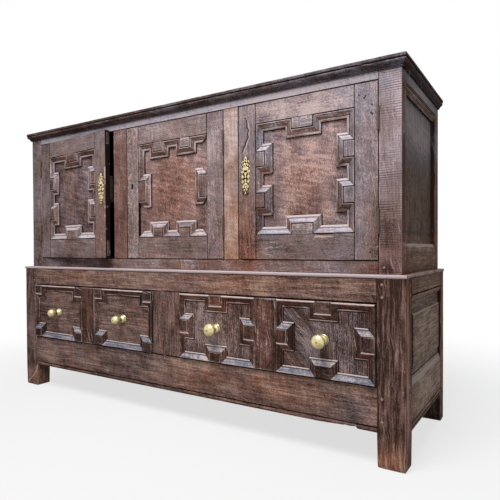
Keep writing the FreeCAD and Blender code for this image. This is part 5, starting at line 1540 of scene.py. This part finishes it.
def knob_profile(ball, half):
    """Depth, radius and dirt of a knob from the flange outwards: ball is its radius, half its depth."""
    front = box("drawer_right_front")[0][Y] / MM
    tip = box("drawer_right_knobs")[0][Y] / MM
    profile = [(front - out, radius, dirt) for out, radius, dirt in FLANGE_AND_NECK]
    centre = tip + half
    for turn in range(30, 173, 9):
        angle = math.radians(turn)
        if ball * math.sin(angle) > NECK_RADIUS or turn > 90:
            profile.append((centre + half * math.cos(angle), ball * math.sin(angle),
                            0.7 if turn < 40 else 0.0))
    profile += [(tip + 0.3, 2.4, 0.3), (tip + 1.2, 2.0, 0.9), (tip + 1.9, 1.0, 1)]
    return profile


print("rings in the profile of a round knob:", len(knob_profile(17, 17)))

# %% Turning the four knobs
NUT_SIDES = 8
NUT_THICKNESS = 5
UNDERSIDE_SHADE = 0.75
for name, ball, half in (("left", 17, 17), ("right", 21.5, 14)):
    corners = np.concatenate(solids(f"drawer_{name}_knobs"))
    middle = (corners[:, X].min() + corners[:, X].max()) / 2
    parts = []
    for near in (corners[corners[:, X] < middle], corners[corners[:, X] > middle]):
        centre = (near.min(0) + near.max(0)) / 2
        knob = turned_part(knob_profile(ball, half), centre)
        # The lower half of each knob is painted darker: painted shade.
        below = np.clip((centre[Z] - knob["points"][:, Z]) / (ball * MM) + 0.1, 0, 1)
        knob["state"][:, 1] += UNDERSIDE_SHADE * below ** 1.3
        parts.append(knob)
        back = near[:, Y].max() / MM
        face = back - NUT_THICKNESS
        parts.append(turned_part([(back, 5, 0.6), (back, 7.2, 0.4), (back - 0.8, 8, 0.2), (face, 8, 0.8)],
                                 centre, NUT_SIDES))
    furnish(f"brass_drawer_{name}_knobs", parts, f"drawer_{name}_knobs")


# %% [markdown]
# ## Pierced key plates
# The plates were cut from thin brass with a fretsaw: a spiky outline, and lozenges either side of the
# keyhole. A flat curve with inner loops is the natural way: Blender fills it, gives it thickness and
# bevels every edge, also those of the openings.
#
# %% Pierced key plates
# Tips as shares of the plate's half width and height. Openings as place and half size in such shares.
PLATE_TIPS = [(0.36, 0.925), (0.84, 0.86), (0.96, 0.745), (1.0, 0.62), (1.0, 0.49), (0.96, 0.37),
              (0.84, 0.25), (0.56, 0.14)]
PLATE_VALLEY = 0.6
PLATE_BEVEL = 0.35 * MM
LOZENGES = [
    (0, 0.93, 0.15, 0.03), (0, 0.85, 0.24, 0.04), (0.48, 0.845, 0.22, 0.038), (0.27, 0.77, 0.17, 0.034),
    (0.62, 0.745, 0.25, 0.044), (0.62, 0.62, 0.28, 0.056), (0.62, 0.49, 0.28, 0.056),
    (0.57, 0.37, 0.25, 0.044), (0, 0.315, 0.2, 0.034), (0.28, 0.29, 0.15, 0.03),
    (0.48, 0.235, 0.22, 0.038), (0, 0.235, 0.2, 0.04), (0.22, 0.16, 0.15, 0.032), (0, 0.085, 0.13, 0.03),
]
LOZENGE_CORNERS = ((1, 0), (0.4, 0.6), (0, 1), (-0.4, 0.6), (-1, 0), (-0.4, -0.6), (0, -1), (0.4, -0.6))
SECOND_HOLE = 3 * MM
SECOND_LEVEL = KEY_LEVEL - 22.5 * MM


def plate_loops(low, high):
    """The outline of a plate and its openings, as X and Z."""
    centre, half = (low[X] + high[X]) / 2, (high[X] - low[X]) / 2
    foot, height = low[Z], high[Z] - low[Z]
    side = [(0.05, 1.0)]
    for (reach, level), (_, following) in zip(PLATE_TIPS, PLATE_TIPS[1:] + [(0, 0.02)]):
        side += [(reach * 0.8, level + 0.03), (reach * 1.08, level), (reach * 0.8, level - 0.022),
                 (reach * PLATE_VALLEY, (level + following) / 2)]
    side += [(0.05, 0.0)]
    outline = [(centre + across * half, foot + up * height) for across, up in side]
    outline += [(centre - across * half, foot + up * height) for across, up in reversed(side)]
    loops = [outline]
    for across, up, wide, tall in LOZENGES:
        for mirror in ((1, -1) if across else (1,)):
            middle = (centre + mirror * across * half, foot + up * height)
            loops.append([(middle[0] + wide * half * dx, middle[1] + tall * height * dz)
                          for dx, dz in LOZENGE_CORNERS])
    loops.append(keyhole(centre))
    turns = np.linspace(0, 2 * math.pi, 10, endpoint=False)
    loops.append([(centre + SECOND_HOLE * math.cos(turn), SECOND_LEVEL + 1.7 * SECOND_HOLE * math.sin(turn))
                  for turn in turns])
    return loops


print("openings in a key plate:", len(plate_loops(*box("door_right_escutcheon"))) - 1)

# %% Cutting the two plates
UPRIGHT = mathutils.Matrix(((1, 0, 0, 0), (0, 0, -1, 0), (0, 1, 0, 0), (0, 0, 0, 1)))


def to_ajar(mesh):
    """Turn a mesh that was drawn on the shut left door to where that door stands."""
    points = np.array([v.co for v in mesh.vertices])
    mesh.vertices.foreach_set("co", turned(points, AJAR).astype(np.float32).ravel())
    mesh.update()


for name in ("left", "right"):
    node = f"door_{name}_escutcheon"
    low, high = box(node)
    curve = bpy.data.curves.new(f"{name} plate outline", "CURVE")
    curve.dimensions = "2D"
    curve.fill_mode = "BOTH"
    curve.extrude = (high[Y] - low[Y]) / 2 - PLATE_BEVEL
    curve.bevel_depth = PLATE_BEVEL
    curve.bevel_resolution = 1
    curve.offset = -PLATE_BEVEL
    for loop in plate_loops(low, high):
        spline = curve.splines.new("POLY")
        spline.points.add(len(loop) - 1)
        for point, (across, up) in zip(spline.points, loop):
            point.co = (across, up, 0, 1)
        spline.use_cyclic_u = True
    holder = bpy.data.objects.new(f"{name} plate outline", curve)
    bpy.context.scene.collection.objects.link(holder)
    mesh = as_mesh(holder)
    mesh.transform(mathutils.Matrix.Translation((0, (low[Y] + high[Y]) / 2, 0)) @ UPRIGHT)
    if name == "left":
        to_ajar(mesh)
    piece = bpy.data.objects.new(f"brass_{node}", mesh)
    bpy.context.scene.collection.objects.link(piece)
    settle(piece, "brass", f"door_{name}", [node])
    print(f"brass_{node}: {len(mesh.polygons)} faces")


# %% [markdown]
# ## Pegs and nails
# Oak pegs lock every joint of the frame, and forged nails hold boards and mend corners. They are many
# small heads that differ a little, so Geometry Nodes set one head at each point of a cloud: turned to
# face outwards, a little larger or smaller, and never twice the same way round. A head's own small
# shape is stored as its grain first, so that each peg shows end grain.
#
# %% Pegs and nails
HEAD_SIZES = {"Radius": ("Float", 4 * MM), "Proud": ("Float", 0.8 * MM), "Crown": ("Float", 0.8),
              "Sides": ("Int", 10), "Seed": ("Int", 7), "Finish": ("Material", None)}


def heads_tree():
    """A Geometry Nodes tree that sets a head on each point, facing along the point's own direction."""
    tree = bpy.data.node_groups.new("heads on points", "GeometryNodeTree")
    face = tree.interface
    face.new_socket("Points", in_out="INPUT", socket_type="NodeSocketGeometry")
    for label, (kind, value) in HEAD_SIZES.items():
        socket = face.new_socket(label, in_out="INPUT", socket_type=f"NodeSocket{kind}")
        if value is not None:
            socket.default_value = value
    face.new_socket("Heads", in_out="OUTPUT", socket_type="NodeSocketGeometry")

    def add(kind, settings=None, inputs=None, output=0):
        node = tree.nodes.new(kind)
        for key, setting in (settings or {}).items():
            setattr(node, key, setting)
        for key, given in (inputs or {}).items():
            if isinstance(given, bpy.types.NodeSocket):
                tree.links.new(given, node.inputs[key])
            else:
                node.inputs[key].default_value = given
        return node.outputs[output]

    def times(first, second):
        return add("ShaderNodeMath", {"operation": "MULTIPLY"}, {0: first, 1: second})

    given = tree.nodes.new("NodeGroupInput").outputs
    vector = {"data_type": "FLOAT_VECTOR"}
    head = add("GeometryNodeMeshCone", {"fill_type": "TRIANGLE_FAN"},
               {"Vertices": given["Sides"], "Side Segments": 3, "Fill Segments": 2,
                "Radius Top": times(given["Radius"], given["Crown"]), "Radius Bottom": given["Radius"],
                "Depth": times(given["Proud"], 2.0)})
    lower = add("ShaderNodeCombineXYZ", None, {2: times(given["Proud"], -1.0)})
    place = add("GeometryNodeInputPosition")
    bumps = add("ShaderNodeTexNoise", {"noise_dimensions": "3D"}, {"Vector": place, "Scale": 260.0}, "Color")
    centred = add("ShaderNodeVectorMath", {"operation": "SUBTRACT"}, {0: bumps, 1: (0.5, 0.5, 0.5)})
    uneven = add("ShaderNodeVectorMath", {"operation": "SCALE"}, {0: centred, "Scale": 0.9 * MM})
    shift = add("ShaderNodeVectorMath", {"operation": "ADD"}, {0: uneven, 1: lower})
    head = add("GeometryNodeSetPosition", None, {"Geometry": head, "Offset": shift})
    across, depth, along = add("ShaderNodeSeparateXYZ", None, {0: place}).node.outputs
    end_grain = add("ShaderNodeCombineXYZ", None, {0: along, 1: across, 2: depth})
    head = add("GeometryNodeStoreNamedAttribute", dict(vector, domain="POINT"),
               {"Geometry": head, "Name": "wood", "Value": end_grain})
    facing = add("GeometryNodeInputNamedAttribute", vector, {"Name": "facing"})
    aim = add("FunctionNodeAlignRotationToVector", {"axis": "Z"}, {"Vector": facing})
    spin = add("FunctionNodeRandomValue", vector,
               {"Min": (0.0, 0.0, 0.0), "Max": (0.0, 0.0, 6.28), "Seed": given["Seed"]})
    spin = add("FunctionNodeEulerToRotation", None, {0: spin})
    aim = add("FunctionNodeRotateRotation", {"rotation_space": "LOCAL"}, {0: aim, 1: spin})
    size = add("FunctionNodeRandomValue", {"data_type": "FLOAT"},
               {2: 0.85, 3: 1.12, "Seed": given["Seed"]}, 1)
    heads = add("GeometryNodeInstanceOnPoints", None,
                {"Points": given["Points"], "Instance": head, "Rotation": aim, "Scale": size})
    solid = add("GeometryNodeRealizeInstances", None, {0: heads})
    dressed = add("GeometryNodeSetMaterial", None, {"Geometry": solid, "Material": given["Finish"]})
    end = tree.nodes.new("NodeGroupOutput")
    tree.links.new(dressed, end.inputs[0])
    return tree


HEADS = heads_tree()
print("nodes in the tree of heads:", len(HEADS.nodes))


# %% Setting heads
def set_heads(name, places, slot, body, nodes=(), **sizes):
    """Heads at these places, each a point and the direction that it faces, as one mesh on a body."""
    points = np.array([place for place, _ in places], float)
    facing = np.array([direction for _, direction in places], float)
    if body in AJAR_BODIES:
        points = turned(points, AJAR)
        facing = turned(PIN + facing, AJAR) - PIN
    cloud = bpy.data.meshes.new(f"{name} points")
    cloud.from_pydata(points.tolist(), [], [])
    cloud.attributes.new("facing", "FLOAT_VECTOR", "POINT").data.foreach_set("vector", facing.ravel())
    holder = bpy.data.objects.new(f"{name} points", cloud)
    bpy.context.scene.collection.objects.link(holder)
    modifier = holder.modifiers.new("heads", "NODES")
    modifier.node_group = HEADS
    sockets = {item.name: item.identifier for item in HEADS.interface.items_tree if item.in_out == "INPUT"}
    for label, value in dict(sizes, Finish=FINISH[slot]).items():
        modifier[sockets[label]] = value
    mesh = as_mesh(holder)
    mesh.shade_smooth()
    mesh.set_sharp_from_angle(angle=math.radians(32))
    piece = bpy.data.objects.new(name, mesh)
    bpy.context.scene.collection.objects.link(piece)
    settle(piece, slot, body, nodes)
    print(f"{name}: {len(places)} heads, {len(mesh.polygons)} faces")


def peg_place(low, high):
    """Where a frame peg's head shows, and the way it faces."""
    size = high - low
    axis = int(np.argmax(size))
    centre = (low + high) / 2
    sign = 1 if centre[axis] > 0 else -1
    point = centre.copy()
    point[axis] = (high if sign > 0 else low)[axis] - sign * 0.8 * MM
    direction = np.zeros(3)
    direction[axis] = sign
    return point, direction


set_heads("oak_frame_pegs", [peg_place(low, high) for low, high in boxes("frame_pegs")], "oak_pegs",
          "carcase", ["frame_pegs"], Radius=4.6 * MM, Proud=0.8 * MM, Crown=0.78, Sides=9, Seed=3)

# %% Pegs and nails of the doors
# Places in X and Z, in millimetres.
DOOR_FACE = box("door_right_stiles")[0][Y]
AHEAD = (0, -1, 0)
DOOR_PEGS = {
    "left": [(-731, 1031), (-728, 608), (-330, 1030), (-333, 612)],
    "middle": [(-198, 1022), (191, 1023), (-195, 607), (195, 612)],
    "right": [(318, 1036), (330, 607), (715, 617)],
}
DOOR_NAILS = {
    "left": [(-345, 640), (-716, 1012)],
    "middle": [(-176, 1040)],
    "right": [(704, 1032), (719, 1022), (722, 1027), (741, 1000), (738, 978), (742, 975), (322, 1024),
              (735, 590)],
}
DOOR_PEG = {"Radius": 3.6 * MM, "Proud": 0.9 * MM, "Crown": 0.8, "Sides": 8}
DOOR_NAIL = {"Radius": 4.2 * MM, "Proud": 0.7 * MM, "Crown": 0.5, "Sides": 7}
for name in DOOR_PEGS:
    for kind, table, slot, sizes in (("pegs", DOOR_PEGS, "oak_pegs", DOOR_PEG),
                                     ("nails", DOOR_NAILS, "iron", DOOR_NAIL)):
        places = [((x * MM, DOOR_FACE, z * MM), AHEAD) for x, z in table[name]]
        set_heads(f"door_{name}_{kind}", places, slot, f"door_{name}", Seed=5, **sizes)

# %% [markdown]
# Small knocks have broken the dark skin of the wood and left pale specks, which also stand as painted glints. They
# stand a quarter of a millimetre proud, as raised fibres do.
#
# %% Pale specks
BASE_FACE = box("base_top_rail")[0][Y]
# Pale specks in peg oak: knocks, and painted glints.
SPECKS = {
    ("carcase", BASE_FACE): [
        (714, 220), (69, 121), (197, 145), (33, 469), (218, 511), (239, 486), (774, 196), (779, 151),
        (834, 186), (804, 200), (836, 273), (835, 219), (18, 456), (-32, 255), (45, 344), (536, 170),
        (588, 216)],
    ("carcase", DOOR_FACE): [
        (811, 797), (817, 584), (815, 649), (-785, 1083), (-265, 1084), (-298, 558), (818, 905), (817, 720)],
    ("door_middle", DOOR_FACE): [(221, 757), (-186, 700), (-181, 930), (-205, 660)],
    ("door_right", DOOR_FACE): [(742, 760), (352, 590), (640, 580)],
}
SPECK = {"Radius": 1.9 * MM, "Proud": 0.25 * MM, "Crown": 0.6, "Sides": 6, "Seed": 2}
for body in ("carcase", "door_middle", "door_right"):
    places = [((x * MM, face, z * MM), AHEAD) for (owner, face), specks in SPECKS.items() if owner == body
              for x, z in specks]
    set_heads(f"specks_{body}", places, "oak_pegs", body, **SPECK)

# %% Nails of the boards
SIDE_NAILS = ((0.055, 0.165), (0.062, 0.143), (0.129, 0.174), (0.181, 0.131), (0.145, 0.158))
BOARD_NAILS = []


def about(value, spread):
    """The value, missed by up to spread millimetres."""
    return value + DICE.uniform(-spread, spread) * MM


for node in ("base_back_boards", "upper_back_boards"):
    for low, high in boxes(node):
        for x in (low[X] + 12 * MM, -0.26, 0.26, high[X] - 12 * MM):
            for z in (low[Z] + 28 * MM, high[Z] - 28 * MM):
                BOARD_NAILS.append(((about(x, 3), high[Y], about(z, 4)), (0, 1, 0)))
for y, z in SIDE_NAILS:
    for sign in (1, -1):
        BOARD_NAILS.append(((sign * box("base_side_rails")[1][X], y, z), (sign, 0, 0)))
for low, high in boxes("top_boards"):
    for x in (low[X] + 28 * MM, -0.27, 0.27, high[X] - 28 * MM):
        for y in (low[Y] + 30 * MM, high[Y] - 30 * MM):
            BOARD_NAILS.append(((about(x, 3), about(y, 3), high[Z]), (0, 0, 1)))
set_heads("iron_board_nails", BOARD_NAILS, "iron", "carcase", Radius=3.6 * MM, Proud=0.5 * MM,
          Crown=0.55, Sides=7, Seed=11)


# %% [markdown]
# ## Hinges and locks
# The butt hinges, lock cases and bolts keep the shape of the solids and get rusted iron.
#
# %% Hinges and locks
for node, piece in frame["nodes"].items():
    if not piece.hide_render:
        piece.data.materials.clear()
        piece.data.materials.append(HINGE_IRON if "hinge" in node else FINISH[SLOT[node]])
        print("kept from the frame:", node)


# %% [markdown]
# ## Floor, light and camera
# A pale floor takes the shadow. The camera sees the floor and the world as white, and so do the brass
# and the wax where they mirror them. The light is a wide soft lamp above the front and an even sky.
#
# %% Floor, light and camera
def seen_directly(shop):
    """1 for rays from the camera, from a mirror and through glass, and 0 for the light that they gather."""
    path = shop.tree.nodes.new("ShaderNodeLightPath")
    names = ("Is Camera Ray", "Is Glossy Ray", "Is Transmission Ray")
    camera_ray, glossy_ray, through_ray = (Value(shop, path.outputs[name]) for name in names)
    return camera_ray + glossy_ray + through_ray


floor_shop = new_shop("pale floor")
pale = floor_shop.add("ShaderNodeBsdfDiffuse", None, {"Color": (0.6, 0.6, 0.6, 1)})
glow = floor_shop.add("ShaderNodeEmission", None, {"Color": (1, 1, 1, 1), "Strength": 1.0})
spot = floor_shop.add("ShaderNodeTexCoord", output=3)
away = floor_shop.add("ShaderNodeVectorMath", {"operation": "LENGTH"}, {0: spot}, output=1)
white = seen_directly(floor_shop) * (away.between(0.7, 2.2) * 0.3 + 0.7)
floor_shop.show(floor_shop.add("ShaderNodeMixShader", None, {0: white, 1: pale, 2: glow}))
floor_mesh = bpy.data.meshes.new("floor")
FLOOR = 30
floor_mesh.from_pydata([(-FLOOR, -FLOOR, 0), (FLOOR, -FLOOR, 0), (FLOOR, FLOOR, 0), (-FLOOR, FLOOR, 0)], [],
                       [(0, 1, 2, 3)])
floor = bpy.data.objects.new("floor", floor_mesh)
floor_mesh.materials.append(floor_shop.owner)
bpy.context.scene.collection.objects.link(floor)

world = bpy.data.worlds.new("studio")
bpy.context.scene.world = world
sky = Shop(world)
plain_sky = sky.add("ShaderNodeBackground", None, {"Color": (0.94, 0.97, 1, 1), "Strength": 0.3})
white_sky = sky.add("ShaderNodeBackground", None, {"Color": (1, 1, 1, 1), "Strength": 1.0})
mixed = sky.add("ShaderNodeMixShader", None, {0: seen_directly(sky), 1: plain_sky, 2: white_sky})
sky.show(mixed, "ShaderNodeOutputWorld")
print("the floor and the sky are white to the camera")


# %% [markdown]
# The lamp is a wide square, so shadows under the mouldings are soft at their edges. The camera stands
# in front, beyond the right end, a little above half the height, and looks nearly level.
#
# %% Lamp and camera
def lamp(name, place, aim, power, size, colour=(1, 1, 1)):
    """A soft square lamp that looks at a point."""
    light = bpy.data.lights.new(name, "AREA")
    light.energy = power
    light.size = size
    light.color = colour
    holder = bpy.data.objects.new(name, light)
    bpy.context.scene.collection.objects.link(holder)
    holder.location = place
    direction = np.array(aim) - np.array(place)
    holder.rotation_euler = mathutils.Vector(direction).to_track_quat("-Z", "Y").to_euler()
    return holder


lamp("overhead", (0.45, -1.5, 2.95), (0.1, -0.2, 0.7), 109, 1.4)

CAMERA_PLACE = np.array([1.1638, -1.5128, 0.5993])
YAW, PITCH, ROLL = (math.radians(angle) for angle in (32.251, -0.752, -0.267))
flat_right = np.array([math.cos(YAW), math.sin(YAW), 0])
flat_ahead = np.array([-math.sin(YAW), math.cos(YAW), 0])
up = np.array([0, 0, 1.0])
ahead = math.cos(PITCH) * flat_ahead + math.sin(PITCH) * up
above = math.cos(PITCH) * up - math.sin(PITCH) * flat_ahead
right = math.cos(ROLL) * flat_right + math.sin(ROLL) * above
upright = math.cos(ROLL) * above - math.sin(ROLL) * flat_right
camera = bpy.data.cameras.new("camera")
camera.lens = 34.41
camera.sensor_width = 36
camera.shift_x, camera.shift_y = 0.0002, 0.01116
camera.clip_start = 0.05
viewer = bpy.data.objects.new("camera", camera)
bpy.context.scene.collection.objects.link(viewer)
matrix = np.eye(4)
matrix[:3, 0], matrix[:3, 1], matrix[:3, 2], matrix[:3, 3] = right, upright, -ahead, CAMERA_PLACE
viewer.matrix_world = mathutils.Matrix(matrix.tolist())
bpy.context.scene.camera = viewer
print("camera at", CAMERA_PLACE, "with a lens of", round(camera.lens, 2), "mm")
bpy.context.scene.view_settings.view_transform = "Standard"
